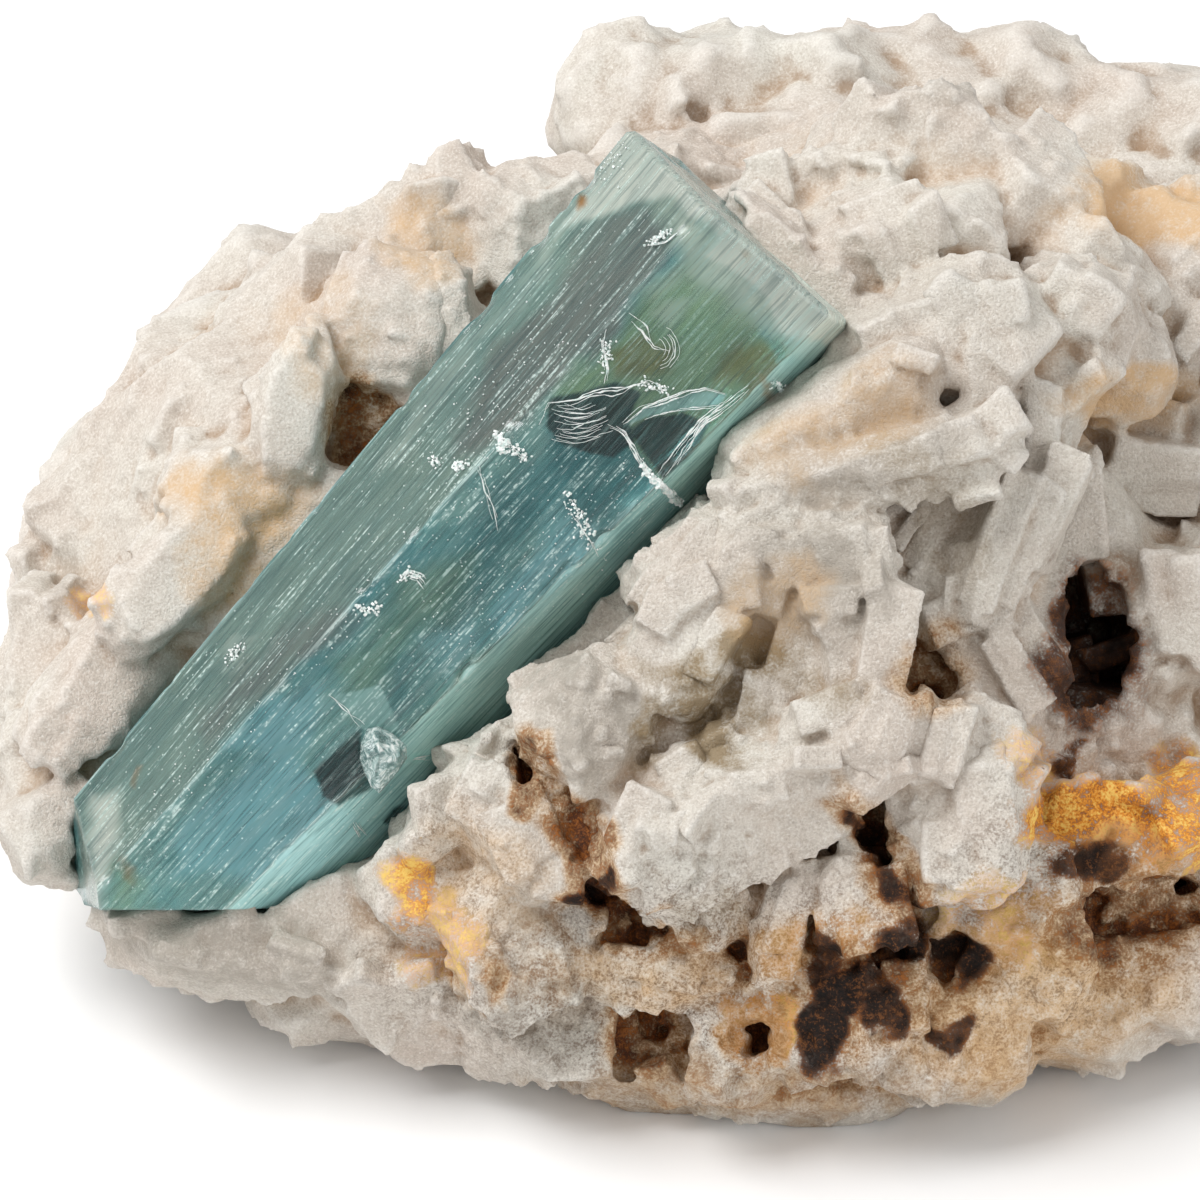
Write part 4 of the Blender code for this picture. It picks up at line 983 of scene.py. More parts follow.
# Zones of the prism as seen from the front, by layer: softness of the rim, strength, outline (right, up).
SOFT_ZONES = {
    "frost": [
        (0.5, 0.95, (
            (0.7, 26.4), (2.5, 26.4), (6.7, 22), (13.1, 15.8), (15.1, 13.6), (14.6, 13), (12.3, 13.4),
            (10, 14.2), (8.8, 15.4), (8.4, 16.9), (6.5, 18.3), (5.5, 18.6), (6.2, 19.8), (5.5, 20.6),
            (3.3, 21.3), (1.6, 21.2), (-0.7, 20.2), (-2.2, 19.2), (-0.8, 22.6))),
        (1.4, 0.55, (
            (-0.8, 22.6), (-2.2, 19.2), (-4.4, 16.5), (-8.2, 11.6), (-11, 8.2), (-12.7, 7.2),
            (-9.3, 11.3), (-5.5, 16.5), (-2.2, 21.2))),
        (0.6, 0.8, ((-27.9, -10.7), (-26.5, -10.4), (-26.8, -15.4), (-27.1, -17.3), (-28.6, -15.9))),
        (0.8, 0.5, ((-20.6, -3), (-19.2, -2.2), (-19.6, -3.7), (-20.2, -4))),
        (1.3, 0.5, (
            (4, 21.6), (6.4, 20.4), (9.4, 17.2), (12.6, 14.8), (15.2, 13.8), (14.4, 12.2), (11, 13),
            (8.4, 14.8), (6.8, 16.8), (4.6, 18.2), (3.4, 19.6))),
    ],
    "smoke": [
        (0.8, 1, (
            (0.2, 20.5), (3, 20.8), (3.7, 18.6), (2.2, 16.5), (0.2, 14), (-1.9, 11.8), (-4, 9.9),
            (-7.2, 8), (-8.2, 8.8), (-6.4, 11.7), (-3.6, 15.6), (-1.2, 18.8))),
        (0.9, 0.75, (
            (-15.3, 0), (-13.6, -0.7), (-16.5, -3.4), (-19, -5.8), (-21.2, -7.7), (-22.2, -7),
            (-20.2, -4.4), (-17.3, -1.4))),
    ],
    "green": [
        (0.6, 1, (
            (0.2, 14), (2.8, 16.5), (5.1, 18.3), (8.2, 15.2), (9.1, 13.9), (10.3, 11.7), (12.3, 12.1),
            (9.3, 9.8), (6.5, 7.7), (5.8, 5.8), (4.7, 4.4), (3, 6.6), (1.1, 8.8), (-3, 10.2), (-2.3, 11.7))),
        (1.2, 0.7, (
            (-3, 0.6), (0, 2.2), (2.2, 0.6), (0, -2.8), (-3.3, -5.5), (-5.5, -7.2), (-8.8, -10.4),
            (-11, -9.9), (-9.9, -6.6), (-6.6, -2.8))),
        (1, 0.8, ((-26.5, -14.3), (-24.8, -14.8), (-24.8, -16.8), (-26.7, -16.9))),
        (1.4, 0.55, ((-14.8, -3.3), (-9.3, 2.2), (-6.6, 2.2), (-9.3, -2.2), (-13.2, -6.6))),
        (1, 0.8, ((9.1, 14.6), (13.6, 12.4), (13.2, 11.2), (10.3, 10.6))),
    ],
    "olive": [
        (0.9, 0.9, ((6.5, 13.9), (9.2, 13.6), (10.1, 11.7), (11, 11.4), (8.9, 9.6), (7.4, 11), (6.2, 12.1))),
        (0.5, 0.9, ((0.2, 13.6), (2.2, 14.4), (4, 13.6), (3.7, 12.4), (2.2, 12.1), (0.6, 12.2))),
        (0.8, 0.7, ((5, 7.2), (6.3, 7.6), (5.9, 5.8), (4.8, 4.8))),
    ],
    "blue": [
        (0.9, 1, (
            (-21.1, -10.6), (-16.5, -7.8), (-14.7, -11), (-11.8, -12.7), (-13.2, -14.4), (-15.9, -15.4),
            (-19.2, -15.6), (-23.1, -15.2), (-22.6, -12.7))),
        (0.8, 0.9, ((-20.2, -7.7), (-17.3, -4.8), (-15.3, -5.3), (-15.5, -7.7), (-17.6, -9.1))),
        (0.9, 0.95, ((-6, -0.6), (-3.3, 3), (-2.2, 5), (0, 4.4), (-0.8, 2.2), (-3.3, -0.6), (-5.5, -2.8))),
        (0.8, 0.6, ((-9.3, -2.2), (-7.2, -0.6), (-6.6, -2.2), (-8.2, -4.4))),
    ],
    "deep": [
        (0.9, 1.2, ((-2.6, 9), (1.8, 8.8), (3.3, 6.2), (2.2, 5.1), (-0.2, 4.6), (-2.6, 6.6))),
        (1.6, 0.8, (
            (-8.8, 2.2), (-4.4, 7.2), (0, 5.5), (2.2, 5), (1.1, 2.2), (-2.2, 5.5), (-5.5, 1.6),
            (-8.8, -2.2), (-11, -2.2))),
        (1.2, 0.6, ((-13.2, -5), (-11, -2.8), (-8.8, -2.8), (-9.9, -5.5), (-11, -7.4))),
    ],
    "pale": [
        (1.3, 1, (
            (3.4, 20.9), (5.4, 21), (7.2, 18.9), (9.4, 16.2), (12.4, 14.2), (15.2, 13.6), (14.2, 12.2),
            (11.2, 13.2), (8.6, 14.6), (6.6, 15.8), (4.8, 17.4))),
        (0.5, 0.9, ((2.6, 15.3), (3.5, 15.8), (5.3, 16.2), (4.8, 15.3), (3.6, 14.4))),
        (0.7, 0.8, ((2.2, 16.5), (5, 18.6), (5, 17.3), (2.8, 15.6))),
    ],
    "rust": [
        (0.35, 1, ((-1.2, 22.2), (-0.8, 22.2), (-0.6, 21.6), (-1, 21.1), (-1.3, 21.7))),
        (0.5, 0.6, ((7.3, 19.2), (8, 18.8), (7.6, 18.5))),
        (0.5, 0.7, ((8.5, 11.7), (9.5, 11.3), (8.9, 10.8))),
        (0.6, 0.6, ((-26.2, -13.9), (-25.1, -14.3), (-25.3, -15.7), (-26.1, -15.4))),
        (0.3, 0.6, ((-25.6, -9.1), (-25.1, -9.2), (-25.5, -10.6), (-25.8, -10.2))),
    ],
    "streaky": [
        (0.5, 1, (
            (-1.4, 14), (-0.4, 12.9), (-12.1, 0), (-24.8, -14.6), (-27.1, -13.8), (-19.2, -5), (-9.9, 4.7))),
        (1.2, 0.8, ((-3, 8.8), (2.2, 5), (0, 2.2), (-7.2, -5), (-12.1, -7.7), (-14.3, -5.5), (-9.3, 2.2))),
        (0.3, 0.85, (
            (9.3, 12.2), (2.5, 4.4), (-5.5, -3), (-9.9, -7.6), (-14.8, -11.7), (-15.3, -11),
            (-10.4, -6.2), (-3, 1.1), (5, 10.2))),
        (0.8, 0.65, ((1.1, 17.1), (2.5, 14.8), (-6.6, 6.9), (-9.3, 8.2))),
    ],
}

# Zones with a sharp rim, by layer: outlines (right, up). The dark zones are windows painted dark as the
# shade that shows through the clear crystal.
CLEAN_ZONES = {
    "dark": [
        (
            (-2.8, 10.8), (-0.8, 11.3), (0.7, 11.8), (2.2, 11.2), (1.5, 9.6), (1.9, 8.5), (0.6, 7.6),
            (-0.6, 7.9), (-2, 8.3), (-3, 9.3)),
        ((1.5, 9.1), (2.3, 9.7), (4.4, 10.1), (5.8, 9.5), (5.4, 8.4), (3.4, 6.5), (2.2, 8)),
        (
            (-15.5, -9.2), (-14.6, -8.5), (-12.9, -7), (-12.8, -8.8), (-12.4, -10.2), (-14.3, -11.2),
            (-15.1, -10.6)),
        (
            (-12, -12.1), (-11.3, -11.3), (-9.9, -10.8), (-8.7, -10.8), (-9, -11.8), (-10.2, -12.9),
            (-11.4, -13.1)),
    ],
    "lens": [
        ((1.1, 9.3), (2.3, 10.3), (4.8, 11.2), (5.7, 11.3), (6.8, 11), (6.4, 10.4), (4.4, 10.2), (2.2, 9.7)),
        ((-14.7, -5.3), (-11.9, -4.5), (-11, -6.4), (-10.8, -7.4), (-12.4, -6.8), (-12.9, -7)),
        ((-14.5, -14.7), (-13.1, -13.5), (-11.6, -13.3), (-12.2, -14.2), (-13.8, -15)),
        ((-10.5, -8.4), (-9.3, -8.2), (-9.2, -8.9), (-10.2, -9)),
    ],
}

# Healed cracks: threads, how far they spread, their half width and the path (right, up).
CRACKS = [
    (3, 0.25, 0.05, (
        (-3.5, 9.3), (-2.8, 10.6), (-1.2, 10.7), (0.2, 11.2), (1.3, 11.3), (2.6, 11.7), (3.6, 11.2))),
    (3, 0.2, 0.05, ((0.2, 11.2), (0.4, 12.4), (0.2, 13.8), (0.4, 14.5))),
    (3, 0.22, 0.05, ((1.3, 15.4), (2.3, 14.5), (2.9, 13.6), (3.7, 13.4))),
    (4, 0.2, 0.05, ((0.4, 9.6), (1.3, 9), (2, 7.9), (2.6, 6.7))),
    (4, 0.12, 0.05, ((1.1, 9.3), (2.3, 10.3), (4.8, 11.2), (5.7, 11.4), (6.8, 11))),
    (2, 0.1, 0.04, ((2.2, 9.6), (4.4, 10.2), (6.5, 10.4))),
    (3, 0.12, 0.045, ((8.4, 11.6), (5.8, 9.6), (3.5, 6.6))),
    (3, 0.14, 0.045, ((8, 11.8), (5.5, 9.8), (3, 6.7))),
    (3, 0.25, 0.04, ((-5, 8.4), (-4.4, 7.9), (-4, 7.6))),
    (3, 0.2, 0.045, ((2.2, 7.3), (2.9, 6.5), (3.7, 5.8), (4.6, 5.1))),
    (2, 0.1, 0.05, ((2.5, 19), (3.5, 19.2), (4.2, 19.8))),
    (3, 0.2, 0.035, ((-1.4, 4.7), (-0.4, 3), (-0.1, 2.2))),
    (4, 0.25, 0.05, ((-10.8, 1), (-10.3, 1.5), (-9.7, 1.3), (-9.3, 0.7))),
    (2, 0.15, 0.04, ((-14.7, -5.1), (-13.8, -6), (-12.8, -7))),
    (3, 0.2, 0.06, ((-10.3, -8.6), (-9.3, -8.5))),
    (4, 0.25, 0.05, ((-10.3, -12), (-9.7, -11.7), (-9.5, -12.1), (-10.1, -12.3))),
    (4, 0.3, 0.05, ((-13.3, -12), (-13, -13))),
    (3, 0.12, 0.04, ((-27.2, -17.1), (-24.2, -16.8), (-20.9, -16.9), (-16.4, -16.8))),
    (3, 0.3, 0.05, ((3.7, 4.8), (4.8, 4.6), (5.5, 5.2))),
    (4, 0.4, 0.045, ((5.5, 5.2), (4.4, 2.2), (2.2, 0))),
    (3, 0.2, 0.045, ((-6.6, 7.2), (-5.8, 4.4), (-5.5, 3.3))),
]

# White crusts and specks of crushed beryl: grains, how far they spread, their size and the path (right, up).
CRUSTS = [
    (150, 0.22, 0.1, ((2.2, 7.3), (2.9, 6.5), (3.7, 5.8), (4.6, 5.1))),
    (60, 0.28, 0.11, ((-5.5, 8.9), (-5.2, 8.5), (-5.4, 8))),
    (45, 0.3, 0.07, ((-5, 8.4), (-4.4, 7.9), (-4, 7.6))),
    (40, 0.25, 0.09, ((-7.9, 7.2), (-7.2, 7.4))),
    (30, 0.3, 0.07, ((-9.1, 7.6), (-8.8, 7.4))),
    (50, 0.25, 0.08, ((2.5, 19.1), (3.3, 19.5), (3.7, 19.8))),
    (70, 0.9, 0.05, ((-0.1, 22.8), (0.4, 23.9), (1.3, 24.8))),
    (80, 0.5, 0.07, ((-1.9, 5.5), (-1.1, 4.5), (-0.7, 3.3))),
    (40, 0.3, 0.07, ((-13.1, -0.3), (-12.4, -0.7), (-12, -0.3))),
    (60, 0.3, 0.06, ((2.2, 11.6), (3.3, 11.4), (3.7, 11))),
    (30, 0.25, 0.07, ((9.2, 11.7), (10.2, 11.5))),
    (40, 0.3, 0.06, ((-20.5, -3.4), (-19.5, -2.5))),
    (70, 0.35, 0.05, ((0.2, 12.4), (0.4, 13.8))),
    (120, 2.2, 0.035, ((-2.2, 14.8), (-5.5, 11), (-8.2, 8.2))),
    (260, 1.6, 0.03, ((-4, 10), (-13.3, -0.3), (-19.3, -6), (-25.1, -12.7))),
    (160, 2.4, 0.03, ((2.2, 6.6), (-2.2, 2.2), (-8.8, -2.2))),
    (60, 0.5, 0.05, ((5.5, 4.8), (5, 3.9), (4, 2.2))),
    (40, 0.3, 0.06, ((-10.8, 1), (-10.3, 1.5), (-9.7, 1.3))),
]

STACKED_CRACKS = ((-3.1, 8.7), (0.9, 10.5), 8)  # a stack of bowed cracks: low left, high right, count
SHELL_CRACKS = ((3.0, 13.5), (0.55, 1.25), 5)  # shell-like cracks: middle, radii from and to, count


def on_axis(height):
    """Places on the prism's axis, from the root at height 0 to the top at height 1."""
    return PRISM_ROOT + (PRISM_TOP - PRISM_ROOT) * height[:, None]


def corners_at(corner, height):
    """The offset of a corner of the prism from its axis, as (rightwards, outwards), at each height: it slides
    straight from its place at the root to its even place at the top."""
    turns = np.radians(PRISM_TURN - 30 + 60 * np.arange(6))
    even = PRISM_RADIUS * np.stack((np.sin(turns), np.cos(turns)), axis=1)
    return ROOT_CORNERS[corner % 6] * (1 - height)[:, None] + even[corner % 6] * height[:, None]


def prism_places(turn, shrink, height):
    """Places on the prism. Turn runs round the six sides from 0 to 6 and its whole numbers are corners.
    Shrink is 1 on the sides and 0 on the axis. Height is 0 at the root and 1 at the top."""
    side = np.floor(turn).astype(int)
    part = (turn - side)[:, None]
    offset = corners_at(side, height) * (1 - part) + corners_at(side + 1, height) * part
    offset = offset * shrink[:, None]
    return on_axis(height) + offset[:, :1] * ACROSS + offset[:, 1:] * TOWARDS


def lowest_heights(turn, shrink):
    """Where each line of the prism, run down from the top, meets the first break across the root."""
    low, high = (prism_places(turn, shrink, np.full(len(turn), h)) for h in (0.0, 1.0))
    found = np.full(len(turn), -0.02)
    for place, facing in ROOT_BREAKS:
        facing = np.array(facing) / np.linalg.norm(facing)
        from_low = (low - place) @ facing
        from_high = (high - place) @ facing
        found = np.maximum(found, np.clip(from_low / (from_low - from_high), -0.02, 0.9))
    return found


def prism_grid():
    """The skin of the prism as a grid of rows round the axis: over the broken root from the axis outwards, up
    the six sides, and over the slope and the flat top back to the axis."""
    shown = (LEFT_SIDE, FRONT_SIDE, RIGHT_SIDE)
    counts = [SHOWN_STEPS if side in shown else HIDDEN_STEPS for side in range(6)]
    round_turn = np.concatenate([side + np.arange(count) / count for side, count in enumerate(counts)])
    around = len(round_turn)
    shrink = np.concatenate((
        np.linspace(0, 1, CAP_STEPS + 1)[:-1],
        np.ones(LENGTH_STEPS),
        np.linspace(1 - RIM / PRISM_RADIUS, 0, CAP_STEPS),
    ))
    climb = np.concatenate((np.zeros(CAP_STEPS), np.linspace(0, 1, LENGTH_STEPS), np.full(CAP_STEPS, 2.0)))
    rows = len(shrink)
    turn = np.tile(round_turn, rows)
    shrink, climb = np.repeat(shrink, around), np.repeat(climb, around)
    lowest = lowest_heights(turn, shrink)
    rim_height = 1 - RIM / PRISM_LENGTH
    height = np.where(climb > 1, 1.0, lowest + (rim_height - lowest) * np.minimum(climb, 1))
    return turn, shrink, height, rows, around


def prism_relief(turn, shrink, height, depth, chip_depth):
    """How far the skin stands in or out: fine grooves along the axis from noise that is stretched thirty
    times, broader steps from noise cut into levels, chips along the edges and low waves on both ends."""
    round_mm = turn * PRISM_RADIUS
    along_mm = height * PRISM_LENGTH
    side = np.floor(turn)
    fine, middling, broad = (
        noise(np.stack((round_mm, along_mm / stretch, side * apart), axis=1), size, seed)
        for stretch, apart, size, seed in ((30, 3, 0.32, 60), (24, 5, 0.8, 61), (14, 7, 2.0, 62)))
    sides_only = eased(shrink, 0.9, 1.0)
    grooves = (fine * 0.3 + middling * 0.43 + np.floor(broad * 4) / 4) * depth * sides_only
    to_corner = np.abs(turn - np.round(turn)) * PRISM_RADIUS
    to_rim = (1 - height) * PRISM_LENGTH
    edge = np.exp(-((np.minimum(to_corner, to_rim + 0.2) / 0.45) ** 2))
    places = prism_places(turn, shrink, height)
    chips = np.clip(noise(places, 1.3, 63) - 0.25, 0, 1) * edge * chip_depth
    waves = fractal(places, 2.6, 3, 64) * 0.10 * (1 - sides_only)
    return grooves - chips + waves


def turns_of(places):
    """The turn round the prism of places near its skin: that of the nearest side, seen along the axis."""
    height = np.clip((places - PRISM_ROOT) @ ALONG / PRISM_LENGTH, 0, 1)
    offset = places - on_axis(height)
    offset = np.stack((offset @ ACROSS, offset @ TOWARDS), axis=1)
    turn = np.zeros(len(places))
    nearest = np.full(len(places), np.inf)
    for side in range(6):
        first, second = corners_at(side, height), corners_at(side + 1, height)
        chord = second - first
        part = np.clip(((offset - first) * chord).sum(1) / (chord**2).sum(1), 0, 1)
        far = np.linalg.norm(offset - first - chord * part[:, None], axis=1)
        turn = np.where(far < nearest, side + part, turn)
        nearest = np.minimum(nearest, far)
    return turn


def depth_inside(places, outline):
    """How far each place is inside a closed outline, negative outside it: the distance to the nearest side,
    with its sign from how many sides a line drawn from the place crosses."""
    outline = np.array(outline)
    nearest = np.full(len(places), np.inf)
    inside = np.zeros(len(places), bool)
    for first, second in zip(outline, np.roll(outline, -1, axis=0)):
        way = second - first
        part = np.clip(((places - first) @ way) / (way @ way), 0, 1)
        nearest = np.minimum(nearest, np.linalg.norm(places - first - part[:, None] * way, axis=1))
        spans = (first[1] > places[:, 1]) != (second[1] > places[:, 1])
        across = first[0] + (places[:, 1] - first[1]) * way[0] / (way[1] if way[1] else 1e-9)
        inside ^= spans & (places[:, 0] < across)
    return np.where(inside, nearest, -nearest)


def zone_layers(places, facing):
    """The strength of each zone at each place on the front of the prism. The rims are pushed about by noise,
    and a sharp zone keeps its depth, so that a half is its rim."""
    wander = np.stack([fractal(places, 2.2, 3, 70 + k) for k in range(2)], axis=1)
    flat = places[:, :2]
    layers = {name: np.zeros(len(places)) for name in (*SOFT_ZONES, *CLEAN_ZONES)}
    for name, zones in SOFT_ZONES.items():
        for soft, strength, outline in zones:
            depth = depth_inside(flat + wander * min(soft, 0.7), outline)
            layers[name] = np.maximum(layers[name], strength * eased(depth, -soft, soft) * facing)
    for name, outlines in CLEAN_ZONES.items():
        for outline in outlines:
            depth = np.clip(depth_inside(flat + wander * 0.12, outline), -1, 1)
            layers[name] = np.maximum(layers[name], (0.5 + depth / 2) * facing)
    return layers


def lengthwise(tree, where, across, along):
    """Coordinates counted in pattern sizes, in millimetres across the prism and along it."""
    ways = ((ACROSS, across), (TOWARDS, across), (ALONG, along))
    return add_node(tree, "ShaderNodeCombineXYZ", {
        axis: add_node(tree, "ShaderNodeVectorMath", {0: where, 1: (way @ FACE) / (size * MM)},
                       operation="DOT_PRODUCT").outputs["Value"]
        for axis, (way, size) in zip("XYZ", ways)})


def aquamarine_material(look):
    """Aquamarine: an iron-bearing beryl, see-through blue-green, with a glassy skin that is grooved
    lengthwise. Fine tubes along its axis and healed cracks give the eye milky streaks between darker, clearer
    windows. The darkest windows are painted shade, the corners carry a painted highlight, and the two side
    faces painted light."""
    material, tree, shader = new_material("aquamarine")
    where = add_node(tree, "ShaderNodeTexCoord").outputs["Object"]
    layer = {name: add_node(tree, "ShaderNodeAttribute", attribute_name=name).outputs["Fac"]
             for name in (*SOFT_ZONES, *CLEAN_ZONES, "edge", "left", "right")}
    # Lines 0.16 mm wide and 16 mm long, tubes of 0.1 by 4 mm, veils of 1.1 by 9 mm, clouds of 4 mm, grain of
    # 0.25 mm and dots in cells of 0.26 mm.
    lines, tubes, veils, clouds, grain = (
        add_node(tree, "ShaderNodeTexNoise", {
            "Vector": place, "Scale": scale, "Detail": detail, "Roughness": roughness})
        for place, scale, detail, roughness in (
            (lengthwise(tree, where, 0.16, 16.0), 1.0, 2.0, 0.5),
            (lengthwise(tree, where, 0.1, 4.0), 1.0, 2.0, 0.5),
            (lengthwise(tree, where, 1.1, 9.0), 1.0, 3.0, 0.5),
            (where, 1 / (4 * MM), 4.0, 0.6),
            (where, 1 / (0.25 * MM), 2.0, 0.5)))
    cells = add_node(tree, "ShaderNodeTexVoronoi", {"Vector": where, "Scale": 1 / (0.26 * MM)})
    of_cell = add_node(tree, "ShaderNodeSeparateColor", {0: cells.outputs["Color"]})

    frost = picked(tree, picked(tree, layer["frost"], 0, 1, weighted(tree, 0.5, (clouds, 1.0))), 0.1, 0.9)
    jagged = weighted(tree, -0.08, (tubes, 0.16))
    # dark: windows painted near black, as the shade that shows through the clear crystal.
    dark = picked(tree, weighted(tree, jagged, (layer["dark"], 1.0)), 0.46, 0.56)
    lens = picked(tree, weighted(tree, jagged, (layer["lens"], 1.0)), 0.47, 0.55)

    # Milky lines run in bundles, dense on the front and by the edges and rarer in the tip, with strewn dots.
    dense = weighted(tree, picked(tree, clouds, 0.42, 0.68), (layer["streaky"], 0.6))
    broken = picked(tree, grain, 0.38, 0.60)
    threads = picked(tree, weighted(tree, lines, (dense, 0.055)), 0.62, 0.69, broken)
    strings = picked(tree, weighted(tree, tubes, (dense, 0.05)), 0.64, 0.72, broken)
    chosen = picked(tree, weighted(tree, of_cell, (dense, 0.10)), 0.86, 0.92)
    dots = picked(tree, cells, 0.30, 0.12, chosen)
    # Painted highlight along the prism's corners, broken by the tubes, with frosted wear.
    edge_glint_and_wear = picked(tree, tubes, 0.38, 0.64, layer["edge"])
    milky = weighted(tree, threads, (strings, 0.8), (dots, 1.0))
    bare = weighted(tree, 1.0, (frost, -0.6), (layer["green"], -0.5), (layer["pale"], -0.6), (dark, -0.5))
    milky = picked(tree, milky, 0, 1, picked(tree, bare, 0, 1))
    milky = picked(tree, weighted(tree, milky, (edge_glint_and_wear, 1.0)), 0, 1)

    body, dark_window_shade = (
        add_node(tree, "ShaderNodeValToRGB", {0: pattern}, stops) for pattern, *stops in (
            (clouds, (0.35, "#66AEB2"), (0.5, look.body), (0.65, "#98CCC4")),
            (tubes, (0.35, "#0A1E20"), (0.5, "#173C3E"), (0.68, "#3F6E70"))))
    uneven = weighted(tree, 0.45, (veils, 1.1))
    zones = [(picked(tree, layer[name], 0, 1, uneven), getattr(look, name), 0.1, 0.9, 0.85)
             for name in ("smoke", "deep", "green", "olive", "blue", "pale")]
    colour = coated(tree, body, (
        # Painted sheen: the left side face is painted lighter and greyer.
        (layer["left"], "#A0AC98", 0, 1, 0.6),
        *zones,
        # Painted light: the right side face, in the rock's shade, is painted pale blue.
        (layer["right"], "#BDEBE9", 0, 1, 0.75),
        (frost, look.frost, 0, 1, 0.9),
        # Painted shade in the dark windows.
        (dark, dark_window_shade, 0, 1, 0.94),
        (lens, "#B6EBE4", 0, 1, 0.85),
        (veils, "#3F7477", 0.42, 0.75, 0.35),
        (lines, "#2C6063", 0.48, 0.34, 0.45),
        (lines, "#A6D2CC", 0.50, 0.66, 0.35),
        (milky, look.milk, 0, 1, 0.58),
        (layer["rust"], "#A9701F", 0.2, 0.9, 0.9),
    ))
    # The right side face lets less light through, so that its painted light shows.
    clear = weighted(tree, 0.64, (frost, -0.22), (milky, -0.32), (layer["right"], -0.56), (dark, 0.12))
    rough = weighted(tree, 0.08, (milky, 0.2), (frost, 0.18))
    relief = weighted(tree, tubes, (lines, 0.8), (veils, 0.5))
    bump = add_node(tree, "ShaderNodeBump", {"Height": relief, "Strength": 0.4, "Distance": 0.05 * MM})
    connect(tree, shader, {
        "Base Color": colour, "Transmission Weight": picked(tree, clear, 0, 1), "Roughness": rough,
        "IOR": 1.577, "Normal": bump})
    absorb = add_node(tree, "ShaderNodeVolumeAbsorption", {"Color": look.inside, "Density": look.density})
    connect(tree, tree.nodes["Material Output"], {"Volume": absorb})
    return material


class SPECIMEN_OT_aquamarine(bpy.types.Operator):
    """Make the six-sided aquamarine prism with its grooves, chips and broken root"""

    bl_idname = "specimen.aquamarine"
    bl_label = "Aquamarine prism"

    def execute(self, context):
        look = context.scene.specimen_prism
        turn, shrink, height, rows, around = prism_grid()
        places = prism_places(turn, shrink, height)
        outwards = prism_places(turn, np.ones(len(turn)), height) - on_axis(height)
        outwards /= np.linalg.norm(outwards, axis=1, keepdims=True)
        relief = prism_relief(turn, shrink, height, look.grooves / MM, look.chips / MM)
        capped = eased(shrink, 0.9, 1.0)[:, None]
        endwards = np.where(height[:, None] > 0.5, ALONG, -ALONG)
        places = places + (outwards * capped + endwards * (1 - capped)) * relief[:, None]
        mesh = mended(mesh_from("aquamarine_prism", to_metres(places), closed_grid_faces(rows, around)))
        places = to_face(points_of(mesh))
        layers = zone_layers(places, eased((places - PRISM_ROOT) @ TOWARDS, -2.0, 1.0))
        turn = turns_of(places)
        to_corner = np.abs(turn - np.round(turn)) * PRISM_RADIUS
        fading = 1 - 0.75 * eased(places[:, 1] - turn * 0.4, 7, 11)
        # edge: nearness to a corner, for the painted highlight and frosted wear along it, fading upwards.
        layers["edge"] = np.exp(-((to_corner / 0.24) ** 2)) * fading
        # left and right mark the two side faces in view, which the material paints lighter as painted sheen
        # and painted light.
        for name, side in (("left", LEFT_SIDE), ("right", RIGHT_SIDE)):
            layers[name] = np.where(np.floor(turn) == side, eased(to_corner, 0.0, 0.3), 0.0)
        for name, values in layers.items():
            give_layer(mesh, name, values)
        place_piece(mesh, aquamarine_material(look), "aquamarine", "aquamarine_crystal")
        return {"FINISHED"}


class Front:
    """The front of the prism as a height (out) over cells of (right, up), for laying cracks on it."""

    CELL = 0.3
    MARGIN = 2.0
    EMPTY = -99.0

    def __init__(self, places):
        shown = places[places @ TOWARDS > PRISM_ROOT @ TOWARDS + 1.0]
        self.low = shown[:, :2].min(0) - self.MARGIN
        size = np.ceil((shown[:, :2].max(0) + self.MARGIN - self.low) / self.CELL).astype(int)
        self.height = np.full(size, self.EMPTY)
        cell = ((shown[:, :2] - self.low) / self.CELL).astype(int)
        np.maximum.at(self.height, tuple(cell.T), shown[:, 2])

    def out(self, spots):
        """The height over each spot's cell, and whether that cell and the four beside it all have one."""
        cell = np.clip(((spots - self.low) / self.CELL).astype(int), 1, np.array(self.height.shape) - 2)
        sides = ((0, 0), (1, 0), (-1, 0), (0, 1), (0, -1))
        around = np.array([self.height[tuple((cell + side).T)] for side in sides])
        return around[0], around.min(0) > self.EMPTY


def run_of(path):
    """How far along a path each of its points is."""
    return np.concatenate(([0], np.cumsum(np.linalg.norm(np.diff(path, axis=0), axis=1))))


def spots_on(path, at):
    """The spots of a path at the given distances along it."""
    run = run_of(path)
    return np.stack([np.interp(at, run, path[:, k]) for k in range(2)], axis=1)


THREAD_STEP = 0.11  # length of a thread's links
THINNEST = 0.012  # least half width of a thread


